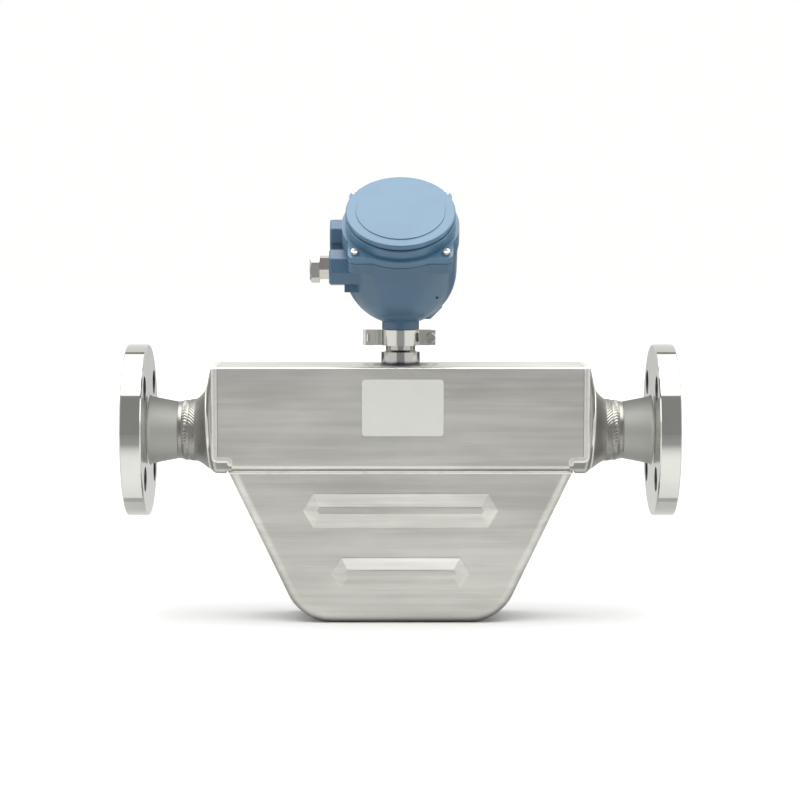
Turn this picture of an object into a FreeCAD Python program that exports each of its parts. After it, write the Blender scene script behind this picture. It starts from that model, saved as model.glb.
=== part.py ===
import FreeCAD, Part
import math
import os
import Sketcher
from FreeCAD import Placement, Rotation, Vector

# Coriolis flow meter: a welded two-tube sensor between two pipe flanges, with a small electronics
# head held on its neck by a hinged V-clamp. Millimetres. The origin is the centre of the inlet
# sealing face, +X runs along the pipe, +Z is up and the front of the meter faces -Y.

doc = FreeCAD.newDocument("flow_meter")
sheet = doc.addObject("Spreadsheet::Sheet", "Sizes")

size_rows = (
    # pipe flanges, class 300, nominal 1-1/2 inch
    ("flange_dia", 155.4, "outside diameter of a flange"),
    ("rim_thick", 19.0, "thickness of the rim without its raised face"),
    ("raised_dia", 73.0, "diameter of the raised sealing face"),
    ("raised_height", 1.6, "height of the raised sealing face"),
    ("bolt_circle", 114.3, "pitch circle of the bolt holes"),
    ("bolt_hole", 22.2, "diameter of a bolt hole"),
    ("bolt_count", 4, "bolt holes in a flange"),
    ("hub_foot_dia", 62.0, "hub diameter at the rim"),
    ("hub_fillet", 4.0, "fillet between hub and rim"),
    ("hub_length", 26.8, "hub length from the rim"),
    ("neck_dia", 51.6, "hub diameter at the butt weld"),
    ("pipe_bore", 40.9, "bore of the flange and manifold"),
    ("rim_chamfer", 1.0, "chamfer on the rim edges"),
    # butt welds
    ("weld_width", 13.6, "width of a butt weld bead"),
    ("weld_crown", 0.6, "height of the bead over the pipe"),
    ("weld_toe", 2.0, "width of the rounded toes of the bead"),
    # manifolds
    ("manifold_dia", 54.6, "manifold diameter at the weld"),
    ("flare_length", 14.2, "length of the flare outside its foot"),
    ("flare_dia", 76.0, "diameter of the flare at its foot"),
    ("flare_foot", 10.0, "foot of the flare beyond the channel"),
    ("flare_sink", 5.0, "depth of the foot down to the dished cap"),
    ("flare_rise", 2.8, "height of the flare foot over the pipe axis"),
    ("boss_dia", 62.0, "manifold diameter inside the case"),
    ("boss_reach", 19.0, "manifold length inside the channel"),
    ("splitter_reach", 12.0, "pipe bore depth past the flare foot"),
    ("socket_depth", 8.0, "depth of a tube socket"),
    # flow tubes
    ("tube_dia", 19.0, "outside diameter of a flow tube"),
    ("tube_wall", 1.2, "wall of a flow tube"),
    ("tube_pitch", 30.0, "distance between the two tubes"),
    ("tube_bend", 32.0, "bend radius of a tube centreline"),
    ("tube_inset", 45.6, "upper corner of the loop inside the lower case"),
    ("tube_drop", 142.0, "depth of the loop under the pipe axis"),
    ("tube_fit", 0.05, "radial clearance of a tube in its socket"),
    ("brace_thick", 2.5, "thickness of a brace plate"),
    ("brace_gap", 8.0, "distance of a brace from the manifold"),
    ("brace_width", 56.0, "width of a brace plate"),
    ("brace_height", 27.0, "height of a brace plate"),
    ("brace_round", 10.8, "corner radius of a brace plate"),
    ("brace_clear", 0.3, "clearance of a tube in its brace"),
    # drive and pickoff coils
    ("bracket_thick", 1.6, "sheet of a coil or magnet bracket"),
    ("bracket_width", 13.0, "width of a bracket"),
    ("bracket_height", 16.0, "height of a bracket over its tube"),
    ("coil_dia", 13.0, "outside diameter of a coil"),
    ("coil_bore", 9.0, "bore of a coil"),
    ("coil_length", 8.6, "length of a coil"),
    ("coil_flange", 1.2, "thickness of the end flanges of a coil"),
    ("winding_dia", 11.4, "diameter of the winding between the flanges"),
    ("magnet_dia", 7.4, "diameter of a magnet"),
    ("yoke_dia", 12.0, "diameter of a magnet holder"),
    ("yoke_length", 4.0, "length of a magnet holder"),
    ("magnet_entry", 3.5, "depth of a magnet inside its coil"),
    # temperature sensor
    ("probe_dia", 5.0, "diameter of the temperature probe"),
    ("probe_depth", 12.0, "depth of the probe in the manifold"),
    ("probe_head_dia", 8.0, "diameter of the probe head"),
    ("probe_head", 3.0, "length of the probe head"),
    ("probe_lift", 24.0, "height of the probe over the pipe axis"),
    # welded case, upper channel
    ("box_overhang", 7.4, "channel end beyond the lower case"),
    ("box_depth", 78.0, "depth of the channel, front to rear"),
    ("box_rise", 59.6, "top of the channel over the pipe axis"),
    ("box_below", 33.0, "bottom of the channel under the pipe axis"),
    ("case_wall", 2.0, "sheet thickness of the case"),
    ("box_bend", 2.4, "outer radius of the top bends"),
    ("lip_bend", 4.5, "outer radius of the bottom bends"),
    ("lip_width", 9.0, "width of the turned-in bottom lips"),
    # end caps
    ("cap_depth", 14.0, "depth of an end cap beyond the channel"),
    ("cap_dish", 190.0, "radius of the dished face of a cap"),
    ("cap_wall", 3.0, "wall of an end cap"),
    ("cap_round", 5.5, "rounding of the cap face"),
    ("cap_corner", 5.0, "radius of the lower corners of a cap"),
    ("skirt_gap", 0.4, "gap between a cap skirt and the lower case"),
    ("foot_reach", 12.0, "length of the cap feet along the channel"),
    ("foot_top", 25.0, "top of the cap feet under the pipe axis"),
    # lower case, two pressed halves
    ("shell_depth", 36.5, "depth of one case half"),
    ("shell_half_width", 155.6, "half width of the lower case at its top"),
    ("shell_slope", 25.7, "slope of the sides from the vertical"),
    ("shell_below", 171.0, "bottom of the lower case under the axis"),
    ("shell_corner", 44.0, "radius of the two lower corners"),
    ("shell_round", 9.0, "radius along the pressed edge"),
    ("bead_height", 5.4, "height of the stiffening beads"),
    ("bead_round", 3.0, "radius on the edges of the beads"),
    ("bead_crest", 6.5, "width of a bead crest"),
    ("upper_bead_length", 174.5, "length of the upper bead"),
    ("upper_bead_width", 30.5, "width of the upper bead"),
    ("upper_bead_below", 69.0, "upper bead under the pipe axis"),
    ("lower_bead_length", 124.5, "length of the lower bead"),
    ("lower_bead_width", 27.5, "width of the lower bead"),
    ("lower_bead_below", 125.4, "lower bead under the pipe axis"),
    ("bead_point", 9.0, "length of the pointed end of a bead"),
    ("crest_setback", 12.5, "crest end from the bead end"),
    ("crest_point", 2.5, "length of the pointed end of a crest"),
    # label plate
    ("label_width", 72.7, "width of the label"),
    ("label_height", 50.6, "height of the label"),
    ("label_thick", 0.4, "thickness of the label"),
    ("label_corner", 3.0, "corner radius of the label"),
    ("label_lift", 23.3, "middle of the label over the pipe axis"),
    ("label_shift", 2.0, "middle of the label from mid length"),
    # neck of the sensor
    ("stub_dia", 35.0, "diameter of the weld-on stub"),
    ("stub_height", 11.6, "height of the stub under its groove"),
    ("groove_dia", 30.0, "diameter at the groove"),
    ("groove_height", 1.8, "height of the groove"),
    ("stub_tube_dia", 26.8, "diameter of the tube over the groove"),
    ("stub_bore", 20.0, "bore of the stub"),
    ("joint_rise", 24.5, "clamped joint over the top of the case"),
    ("ferrule_dia", 32.6, "diameter of a ferrule"),
    ("ferrule_rim", 2.0, "straight rim of a ferrule"),
    ("ferrule_taper", 1.6, "height of the ferrule taper"),
    ("seal_dia", 24.8, "middle diameter of the joint seal"),
    ("seal_cord", 1.4, "cord diameter of the joint seal"),
    ("seal_room", 0.2, "room beside the joint seal in its groove"),
    ("header_thick", 5.0, "thickness of the feedthrough header"),
    ("header_drop", 10.0, "header top under the joint"),
    ("header_fit", 0.05, "radial clearance of the header"),
    ("pin_dia", 1.0, "diameter of a feedthrough pin"),
    ("pin_length", 13.0, "length of a feedthrough pin"),
    ("pin_circle", 11.0, "pitch circle of the pins"),
    ("pin_count", 8, "number of pins"),
    # V-clamp
    ("clamp_dia", 35.8, "outside diameter of the clamp band"),
    ("clamp_height", 14.0, "height of the clamp band"),
    ("clamp_gap", 0.3, "clearance between clamp and ferrules"),
    ("clamp_split", 2.4, "gap between the clamp halves"),
    ("ear_start", 22.8, "near side of a screw ear from the neck axis"),
    ("ear_width", 8.8, "width of a screw ear"),
    ("ear_reach", 6.6, "front of a screw ear from the neck axis"),
    ("ear_height", 13.4, "height of a screw ear"),
    ("web_reach", 6.0, "front of the web between band and ear"),
    ("web_start", 17.6, "near side of the arched recess from the neck axis"),
    ("web_arch", 3.9, "radius of the arched recess in the web"),
    ("web_floor", 0.8, "wall behind the arched recess"),
    ("screw_dia", 6.0, "clamp screw thread"),
    ("screw_head_dia", 9.2, "clamp screw head"),
    ("screw_head", 4.0, "height of the clamp screw head"),
    ("screw_socket", 5.0, "clamp screw socket across flats"),
    ("screw_play", 0.3, "radial play of a screw in its hole"),
    ("hinge_reach", 31.0, "hinge pins from the neck axis"),
    ("hinge_pitch", 8.4, "distance between the two hinge pins"),
    ("hinge_pin_dia", 2.8, "diameter of a hinge pin"),
    ("knuckle_dia", 6.0, "diameter of a hinge knuckle"),
    ("link_thick", 3.6, "thickness of one of the two hinge links"),
    ("link_width", 5.6, "width of a hinge link"),
    ("hinge_play", 0.05, "play in the hinge"),
    ("arm_groove", 20.6, "outer side of the groove beside the band from the neck axis"),
    ("arm_floor", 2.4, "floor of that groove in front of the neck axis"),
    ("arm_step", 5.0, "arm beside the groove in front of the neck axis"),
    ("arm_slope", 3.1, "length of the sloping side of the arm"),
    # electronics head
    ("head_tilt", 39.0, "tilt of the head towards the front"),
    ("dome_rise", 62.2, "middle of the dome over the clamped joint"),
    ("dome_dia", 101.2, "diameter of the domed body"),
    ("body_height", 44.5, "seam over the middle of the dome"),
    ("mouth_dia", 102.8, "diameter of the body at its flange"),
    ("body_flange", 11.0, "thickness of the body flange"),
    ("lid_flange", 6.5, "thickness of the lid flange"),
    ("flange_round", 104.6, "diameter of the round part of the flanges"),
    ("flange_square", 92.6, "width of the square part of the flanges"),
    ("flange_corner", 6.6, "corner radius of the flanges"),
    ("seam_bevel", 0.6, "bevel on both sides of the seam"),
    ("screw_pitch", 80.0, "distance between the lid screws"),
    ("lid_screw_dia", 4.0, "lid screw thread"),
    ("lid_head_dia", 7.0, "lid screw head"),
    ("lid_head", 4.0, "height of a lid screw head"),
    ("lid_screw_length", 12.0, "length of a lid screw under its head"),
    ("lid_socket", 3.0, "lid screw socket across flats"),
    ("key_depth", 2.2, "depth of a hexagon socket"),
    ("head_bevel", 0.6, "bevel on a screw head"),
    ("tip_bevel", 0.5, "bevel on the tip of a screw"),
    ("cavity_dia", 92.0, "bore of the body"),
    ("cavity_floor", 2.0, "step in the bore over the middle of the dome"),
    ("well_dia", 78.0, "bore of the well under the step"),
    ("shelf_drop", 22.0, "shelf under the middle of the dome"),
    ("shelf_width", 9.0, "width of the shelf round the well"),
    ("sump_drop", 30.0, "floor under the middle of the dome"),
    ("collar_dia", 33.7, "diameter of the painted collar"),
    ("collar_gap", 0.4, "gap between the collar and the clamp"),
    ("wire_bore", 16.0, "wire passage through the collar"),
    ("entry_flats", 31.0, "conduit entry across flats"),
    ("entry_reach", 63.5, "end of a conduit entry from the neck axis"),
    ("entry_pitch", 41.6, "distance between the conduit entries"),
    ("entry_level", 18.9, "conduit entries over the middle of the dome"),
    ("entry_bore", 16.0, "conduit entry bore"),
    ("entry_edge", 1.2, "chamfer at the mouth of an entry"),
    ("entry_round", 2.0, "rounding of the entry edges"),
    ("vent_dia", 2.4, "diameter of the small vent in the dome"),
    ("vent_shift", 32.6, "vent from the neck axis"),
    ("vent_drop", 25.3, "vent under the middle of the dome"),
    ("vent_depth", 3.0, "depth of the vent"),
    ("lug_width", 9.0, "width of the small lug"),
    ("lug_depth", 9.0, "depth of the small lug"),
    ("lug_reach", 50.0, "end of the small lug from the neck axis"),
    ("lug_drop", 20.6, "bottom of the lug under the middle of the dome"),
    ("pad_dia", 10.0, "diameter of the flat pad under the dome"),
    ("pad_reach", 22.5, "pad from the neck axis"),
    ("pad_drop", 45.6, "bottom of the pad under the middle of the dome"),
    ("pad_slope", 11.0, "height and width of the sloping side of the pad"),
    # lid
    ("hood_dia", 98.0, "diameter of the lid body"),
    ("hood_height", 9.6, "height of the lid body over its flange"),
    ("hood_groove_dia", 93.6, "diameter at the lid groove"),
    ("hood_groove", 1.7, "height of the lid groove"),
    ("disc_dia", 97.2, "diameter of the top disc"),
    ("disc_thick", 4.4, "thickness of the top disc"),
    ("plateau_dia", 79.4, "diameter of the raised plateau"),
    ("plateau_height", 0.8, "height of the raised plateau"),
    ("edge_round", 0.8, "small rounding of the lid edges"),
    ("lid_cavity_dia", 82.0, "bore inside the lid"),
    ("lid_top_wall", 4.0, "wall over the lid bore"),
    ("spigot_dia", 91.2, "diameter of the lid spigot"),
    ("spigot_depth", 6.0, "depth of the lid spigot"),
    ("ring_cord", 2.4, "cord diameter of the lid seal"),
    ("ring_level", 3.0, "lid seal under the seam"),
    ("ring_squeeze", 0.24, "squeeze of the lid seal in its groove"),
    # inside the head
    ("module_play", 0.5, "radial play of the electronics module in its well"),
    ("module_height", 21.0, "height of the electronics module"),
    ("module_rim", 4.2, "thickness of the module rim under its screws"),
    ("module_taper", 2.1, "height of the taper over the module rim"),
    ("module_screw_dia", 3.0, "module screw thread"),
    ("module_screw_head", 5.5, "module screw head"),
    ("module_socket", 2.5, "module screw socket across flats"),
    ("module_screw_count", 3, "number of module screws"),
    ("module_screw_grip", 5.0, "module screw in the shelf"),
    ("terminal_length", 50.0, "length of the terminal block"),
    ("terminal_depth", 18.0, "depth of the terminal block"),
    ("terminal_height", 9.0, "height of the terminal block"),
    ("terminal_count", 6, "ways of the terminal block"),
    ("terminal_hole", 4.0, "diameter of a terminal hole"),
    ("terminal_sink", 5.4, "depth of a terminal hole"),
    # cable gland
    ("gland_spigot", 13.0, "thread of the gland in the entry"),
    ("gland_fit", 0.05, "radial clearance of the gland thread"),
    ("gland_flats", 19.0, "gland body across flats"),
    ("gland_body_length", 8.5, "gland body outside the entry"),
    ("gland_nut_flats", 24.0, "gland nut across flats"),
    ("gland_nut_length", 8.5, "length of the gland nut"),
    ("nut_bevel", 1.9, "bevel on the outer end of the nut"),
    ("gland_bore", 9.0, "cable bore of the gland"),
    ("gland_seat", 13.0, "seat of the seal in the nut"),
    ("gland_seal_bore", 6.0, "bore of the gland seal"),
    ("gland_seal_length", 6.0, "length of the gland seal"),
)


class Size:
    """A number from the sheet together with the expression that gives it."""

    def __init__(self, number, text):
        self.number = float(number)
        self.text = text

    def __add__(self, other):
        other = as_size(other)
        return Size(self.number + other.number, f"({self.text} + {other.text})")

    def __radd__(self, other):
        return as_size(other) + self

    def __sub__(self, other):
        other = as_size(other)
        return Size(self.number - other.number, f"({self.text} - {other.text})")

    def __rsub__(self, other):
        return as_size(other) - self

    def __mul__(self, other):
        other = as_size(other)
        return Size(self.number * other.number, f"{self.text} * {other.text}")

    def __rmul__(self, other):
        return as_size(other) * self

    def __truediv__(self, other):
        other = as_size(other)
        return Size(self.number / other.number, f"{self.text} / {other.text}")

    def __neg__(self):
        return Size(-self.number, f"(-1 * {self.text})")


def as_size(value):
    return value if isinstance(value, Size) else Size(value, f"({float(value)})")


def sine(angle):
    return Size(math.sin(math.radians(angle.number)), f"sin({angle.text})")


def cosine(angle):
    return Size(math.cos(math.radians(angle.number)), f"cos({angle.text})")


def root(value):
    return Size(math.sqrt(value.number), f"sqrt({value.text})")


def tangent(angle):
    return Size(math.tan(math.radians(angle.number)), f"tan({angle.text})")


class Sheet:
    """The rows of the sheet as attributes."""


s = Sheet()
for row, (alias, value, note) in enumerate(size_rows, start=1):
    sheet.set(f"A{row}", note)
    sheet.set(f"B{row}", str(value))
    sheet.setAlias(f"B{row}", alias)
    setattr(s, alias, Size(value, f"Sizes.{alias}"))
doc.recompute()

zero = as_size(0)
x_axis, y_axis, z_axis = Vector(1, 0, 0), Vector(0, 1, 0), Vector(0, 0, 1)
overcut = as_size(2)


# small helpers that bind sizes, places and sketches to the sheet

def bind(thing, **sizes):
    for name, value in sizes.items():
        thing.setExpression(name, as_size(value).text)
    return thing


def place(thing, x=zero, y=zero, z=zero, axis=None, angle=zero, first=None):
    """Move a thing; first is a fixed turn made before the turn about axis by angle."""
    turn = Rotation() if axis is None else Rotation(axis, as_size(angle).number)
    if first is not None:
        turn = turn.multiply(first)
    thing.Placement = Placement(Vector(), turn)
    for letter, value in zip("xyz", (x, y, z)):
        thing.setExpression(f"Placement.Base.{letter}", as_size(value).text)
    if axis is not None and first is None:
        thing.setExpression("Placement.Rotation.Angle", as_size(angle).text)
    return thing


def cylinder(name, radius, height, **where):
    thing = bind(doc.addObject("Part::Cylinder", name), Radius=radius, Height=height)
    return place(thing, **where)


def block(name, low, span, **where):
    """A box from its low corner, as a thing that can still be turned about its own origin."""
    thing = bind(doc.addObject("Part::Box", name), Length=span[0], Width=span[1], Height=span[2])
    return place(thing, x=low[0], y=low[1], z=low[2], **where)


def prism(name, sides, flats, height, **where):
    """A regular prism given by its size across flats."""
    half_angle = as_size(180 / sides)
    thing = doc.addObject("Part::Prism", name)
    thing.Polygon = sides
    bind(thing, Circumradius=flats / 2 / cosine(half_angle), Height=height)
    return place(thing, **where)


def join(name, *things):
    union = doc.addObject("Part::MultiFuse", name)
    union.Shapes = list(things)
    union.Refine = True
    return union


def cut(name, base, *tools):
    tool = tools[0] if len(tools) == 1 else join(name + "_tools", *tools)
    result = doc.addObject("Part::Cut", name)
    result.Base, result.Tool = base, tool
    result.Refine = True
    return result


def common(name, base, tool):
    result = doc.addObject("Part::Common", name)
    result.Base, result.Tool = base, tool
    return result


def group(name, things):
    whole = doc.addObject("Part::Compound", name)
    whole.Links = things
    return whole


def new_body(name):
    return doc.addObject("PartDesign::Body", name)


def new_sketch(body, plane, lift=None):
    sketch = body.newObject("Sketcher::SketchObject", "Sketch")
    origin_plane = [item for item in body.Origin.OriginFeatures if item.Role == plane][0]
    sketch.AttachmentSupport = (origin_plane, [""])
    sketch.MapMode = "FlatFace"
    if lift is not None:
        sketch.setExpression("AttachmentOffset.Base.z", as_size(lift).text)
    return sketch


def tie_points(sketch, ties):
    """Tie sketch points to the sheet; a tie is edge, end, x and y."""
    rules, texts = [], []
    for edge, end, x, y in ties:
        for kind, value in (("DistanceX", as_size(x)), ("DistanceY", as_size(y))):
            rules.append(Sketcher.Constraint(kind, -1, 1, edge, end, value.number))
            texts.append(value.text)
    for index, text in zip(sketch.addConstraint(rules), texts):
        sketch.setExpression(f"Constraints[{index}]", text)


def outline(sketch, points):
    """A closed outline of straight edges."""
    spots = [Vector(as_size(x).number, as_size(y).number, 0) for x, y in points]
    first = sketch.GeometryCount
    count = len(spots)
    edges = [Part.LineSegment(spots[i], spots[(i + 1) % count]) for i in range(count)]
    sketch.addGeometry(edges, False)
    sketch.addConstraint([Sketcher.Constraint("Coincident", first + i, 2, first + (i + 1) % count, 1)
                          for i in range(count)])
    tie_points(sketch, [(first + i, 1, x, y) for i, (x, y) in enumerate(points)])
    return sketch


def oblong(x_span, y_span, x=zero, y=zero):
    """The four corners of a rectangle about a middle point."""
    left, right = x - x_span / 2, x + x_span / 2
    low, high = y - y_span / 2, y + y_span / 2
    return [(left, low), (right, low), (right, high), (left, high)]


def circle(sketch, radius, x=zero, y=zero):
    radius = as_size(radius)
    middle = Vector(as_size(x).number, as_size(y).number, 0)
    index = sketch.addGeometry(Part.Circle(middle, z_axis, radius.number), False)
    tie_points(sketch, [(index, 3, x, y)])
    rule = sketch.addConstraint(Sketcher.Constraint("Radius", index, radius.number))
    sketch.setExpression(f"Constraints[{rule}]", radius.text)
    return sketch


def pad(body, sketch, length, reverse=False, middle=False):
    feature = body.newObject("PartDesign::Pad", "Pad")
    feature.Profile = sketch
    feature.Reversed = reverse
    feature.Midplane = middle
    bind(feature, Length=length)
    doc.recompute()
    return feature


def pocket(body, sketch, length, reverse=False, middle=False):
    """A pocket that must take material away."""
    before = body.Shape.Volume
    feature = body.newObject("PartDesign::Pocket", "Pocket")
    feature.Profile = sketch
    feature.Reversed = reverse
    feature.Midplane = middle
    bind(feature, Length=length)
    doc.recompute()
    if feature.Shape.Volume >= before:
        raise ValueError(f"a pocket in {body.Name} cuts nothing")
    return feature


def turn(body, sketch, axis="V_Axis"):
    feature = body.newObject("PartDesign::Revolution", "Revolution")
    feature.Profile = sketch
    feature.ReferenceAxis = (sketch, [axis])
    feature.Angle = 360
    doc.recompute()
    return feature


def turned(name, points, plane="XZ_Plane", axis="V_Axis"):
    """A body of revolution from its half section."""
    body = new_body(name)
    turn(body, outline(new_sketch(body, plane), points), axis)
    return body


def polar(body, feature, axis, count):
    pattern = body.newObject("PartDesign::PolarPattern", "PolarPattern")
    pattern.Originals = [feature]
    line = [item for item in body.Origin.OriginFeatures if item.Role == axis][0]
    pattern.Axis = (line, [""])
    pattern.Angle = 360
    bind(pattern, Occurrences=count)
    body.Tip = pattern
    doc.recompute()
    return pattern


def finish_edges(body, kind, amount, test):
    """A fillet or chamfer on the edges of the body's tip that pass the test."""
    tip = body.Tip
    names = [f"Edge{i}" for i, edge in enumerate(tip.Shape.Edges, start=1) if test(edge)]
    if not names:
        raise ValueError(f"no edge to finish in {body.Name}")
    feature = body.newObject("PartDesign::" + kind, kind)
    feature.Base = (tip, names)
    bind(feature, **{"Radius" if kind == "Fillet" else "Size": amount})
    doc.recompute()
    return feature


near = 0.05


def at(value, target):
    return abs(value - as_size(target).number) < near


def radius_of(edge):
    return edge.Curve.Radius if edge.Curve.TypeId == "Part::GeomCircle" else -1


def runs_along(edge, axis):
    """True for a straight edge along the axis."""
    if edge.Curve.TypeId != "Part::GeomLine":
        return False
    return abs(abs(edge.Curve.Direction * axis) - 1) < near


def rounded(name, base, radius_for):
    """Rounds each edge of base for which radius_for gives a radius."""
    result = doc.addObject("Part::Fillet", name)
    result.Base = base
    radii = [(i, radius_for(edge)) for i, edge in enumerate(base.Shape.Edges, start=1)]
    result.Edges = [(i, size.number, size.number) for i, size in radii if size is not None]
    doc.recompute()
    return result


def flat_at(edge, direction, level):
    """True for an edge that lies in the plane at this level."""
    level = as_size(level).number
    spots = edge.discretize(5)
    return all(abs(spot * direction - level) < near for spot in spots)


# lengths along the pipe, from mid length outwards
box_half = s.shell_half_width + s.box_overhang
box_length = box_half * 2
flare_start = box_half + s.flare_foot
flare_end = flare_start + s.flare_length
weld_end = flare_end + s.weld_width
mid = weld_end + s.hub_length + s.rim_thick + s.raised_height
far_face = mid * 2
boss_end = box_half - s.boss_reach
leg_angle = 90 - s.shell_slope
tube_corner = s.shell_half_width - s.tube_inset
cap_low = -s.box_below - s.cap_wall
cap_middle = (s.box_rise + cap_low) / 2
half_turn = as_size(180)
quarter_turn = as_size(90)


# flanges, welds and manifolds

def pipe_flange(name, **where):
    body = new_body(name)
    bore, rim = s.pipe_bore / 2, s.flange_dia / 2
    rim_end = s.raised_height + s.rim_thick
    points = [(zero, bore), (zero, s.raised_dia / 2), (s.raised_height, s.raised_dia / 2),
              (s.raised_height, rim), (rim_end, rim), (rim_end, s.hub_foot_dia / 2),
              (rim_end + s.hub_length, s.neck_dia / 2), (rim_end + s.hub_length, bore)]
    turn(body, outline(new_sketch(body, "XZ_Plane"), points), "H_Axis")
    finish_edges(body, "Fillet", s.hub_fillet,
                 lambda e: flat_at(e, x_axis, rim_end) and at(radius_of(e), s.hub_foot_dia / 2))
    finish_edges(body, "Chamfer", s.rim_chamfer, lambda e: at(radius_of(e), rim))
    hole = pocket(body, circle(new_sketch(body, "YZ_Plane"), s.bolt_hole / 2,
                               s.bolt_circle / 2 * cosine(as_size(45)),
                               s.bolt_circle / 2 * sine(as_size(45))),
                  (rim_end + overcut) * 2, middle=True)
    polar(body, hole, "X_Axis", s.bolt_count)
    return place(body, **where)


def butt_weld(name, **where):
    """Full-penetration bead; its section is crowned between the hub and the manifold."""
    bore, crown = s.pipe_bore / 2, s.weld_crown
    points = [(zero, bore), (zero, s.neck_dia / 2), (s.weld_toe, s.neck_dia / 2 + crown),
              (s.weld_width - s.weld_toe, s.manifold_dia / 2 + crown / 2),
              (s.weld_width, s.manifold_dia / 2), (s.weld_width, bore)]
    return place(turned(name, points, axis="H_Axis"), **where)


def dish_ball(name, inset, start):
    """The ball whose surface is the dished face of a cap; start is where the channel ends."""
    ball = bind(doc.addObject("Part::Sphere", name + "_ball"), Radius=s.cap_dish - inset)
    return place(ball, x=start + s.cap_depth - s.cap_dish, z=cap_middle)


# along the flare and out from the neck, as shares of its length and height
flare_steps = ((0.0, 1.0), (0.22, 0.72), (0.5, 0.36), (0.76, 0.12), (1.0, 0.0))


def manifold(name, probe_hole, **where):
    """Cast manifold: a round neck that flares onto the dished cap and a boss with two tube sockets."""
    rings = []
    for along, share in flare_steps:
        ring = bind(doc.addObject("Part::Circle", name + "_ring"),
                    Radius=s.manifold_dia / 2 + (s.flare_dia - s.manifold_dia) / 2 * share)
        rings.append(place(ring, x=s.flare_length * along, z=s.flare_rise * share,
                           first=Rotation(y_axis, 90)))
    flare = doc.addObject("Part::Loft", name + "_flare")
    flare.Sections = rings
    flare.Solid = True
    reach = s.flare_foot + s.boss_reach
    lie = dict(first=Rotation(y_axis, 90))
    foot = cylinder(name + "_foot", s.flare_dia / 2, s.flare_sink, x=-s.flare_sink, z=s.flare_rise, **lie)
    skin = cut(name + "_skin", join(name + "_form", flare, foot), dish_ball(name, zero, -s.flare_foot))
    crown = s.cap_depth - s.flare_foot
    boss = cylinder(name + "_boss", s.boss_dia / 2, reach + crown, x=-reach, **lie)
    tools = [cylinder(name + "_bore", s.pipe_bore / 2, s.flare_length + s.splitter_reach + overcut,
                      x=-s.splitter_reach, **lie)]
    for side in (-1, 1):
        y = s.tube_pitch / 2 * side
        tools.append(cylinder(name + "_way", s.tube_dia / 2 - s.tube_wall, reach + overcut,
                              x=-reach - overcut, y=y, **lie))
        tools.append(cylinder(name + "_socket", s.tube_dia / 2 + s.tube_fit, s.socket_depth + overcut,
                              x=-reach - overcut, y=y, **lie))
    if probe_hole:
        tools.append(cylinder(name + "_probe_hole", s.probe_dia / 2 + s.tube_fit,
                              s.probe_depth + overcut, x=-reach - overcut, z=s.probe_lift, **lie))
    return place(cut(name, join(name + "_solid", skin, boss), *tools), **where)


inlet = dict(axis=z_axis, angle=half_turn)
pipe_flange("inlet_flange")
pipe_flange("outlet_flange", x=far_face, **inlet)
butt_weld("inlet_weld", x=mid - weld_end)
butt_weld("outlet_weld", x=mid + weld_end, **inlet)
manifold("inlet_manifold", True, x=mid - flare_start, **inlet)
manifold("outlet_manifold", False, x=mid + flare_start)


# welded case

def case_channel(name):
    """Folded upper channel with turned-in lips, a hole under the neck and four notched corners."""
    body = new_body(name)
    out, wall = s.box_depth / 2, s.case_wall
    top, low = s.box_rise, -s.box_below
    lip = out - s.lip_width
    half = [(lip, low), (out, low), (out, top)]
    inner = [(out - wall, top - wall), (out - wall, low + wall), (lip, low + wall)]
    points = half + [(-y, z) for y, z in reversed(half)]
    points += [(-y, z) for y, z in reversed(inner)] + inner
    pad(body, outline(new_sketch(body, "YZ_Plane"), points), box_length)
    finish_edges(body, "Fillet", s.box_bend,
                 lambda e: runs_along(e, x_axis) and at(e.CenterOfMass.z, top)
                 and at(abs(e.CenterOfMass.y), out))
    finish_edges(body, "Fillet", s.lip_bend,
                 lambda e: runs_along(e, x_axis) and at(e.CenterOfMass.z, low)
                 and at(abs(e.CenterOfMass.y), out))
    finish_edges(body, "Fillet", s.lip_bend - wall,
                 lambda e: runs_along(e, x_axis) and at(e.CenterOfMass.z, low + wall)
                 and at(abs(e.CenterOfMass.y), out - wall))
    pocket(body, circle(new_sketch(body, "XY_Plane", top + overcut), s.stub_bore / 2, box_half),
           wall + overcut * 2)
    notches = new_sketch(body, "XY_Plane", -s.foot_top)
    inside, outside = out - s.cap_wall, out + overcut
    for near_x, far_x in ((-overcut, s.foot_reach), (box_length - s.foot_reach, box_length + overcut)):
        outline(notches, [(near_x, inside), (far_x, inside), (far_x, outside), (near_x, outside)])
        outline(notches, [(near_x, -outside), (far_x, -outside), (far_x, -inside), (near_x, -inside)])
    pocket(body, notches, s.box_below - s.foot_top + overcut)
    return place(body, x=mid - box_half)


def cap_form(name, inset, start):
    """Rounded bar from start outwards under the dished face; inset moves its faces inwards."""
    body = new_body(name)
    out, low, high = s.box_depth / 2 - inset, cap_low + inset, s.box_rise - inset
    section = [(-out, low), (out, low), (out, high), (-out, high)]
    pad(body, outline(new_sketch(body, "YZ_Plane", start), section), s.cap_depth - start)
    ball = dish_ball(name, inset, zero)
    dished = common(name + "_dished", body, ball)
    doc.recompute()
    centre, radius = ball.Placement.Base, ball.Radius.Value

    def fillet_radius(edge):
        if all(abs(spot.distanceToPoint(centre) - radius) < near for spot in edge.discretize(5)):
            return s.cap_round - inset
        if runs_along(edge, x_axis):
            return (s.cap_corner if edge.CenterOfMass.z < centre.z else s.box_bend + inset) - inset
        return None

    return rounded(name + "_rounded", dished, fillet_radius)


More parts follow.
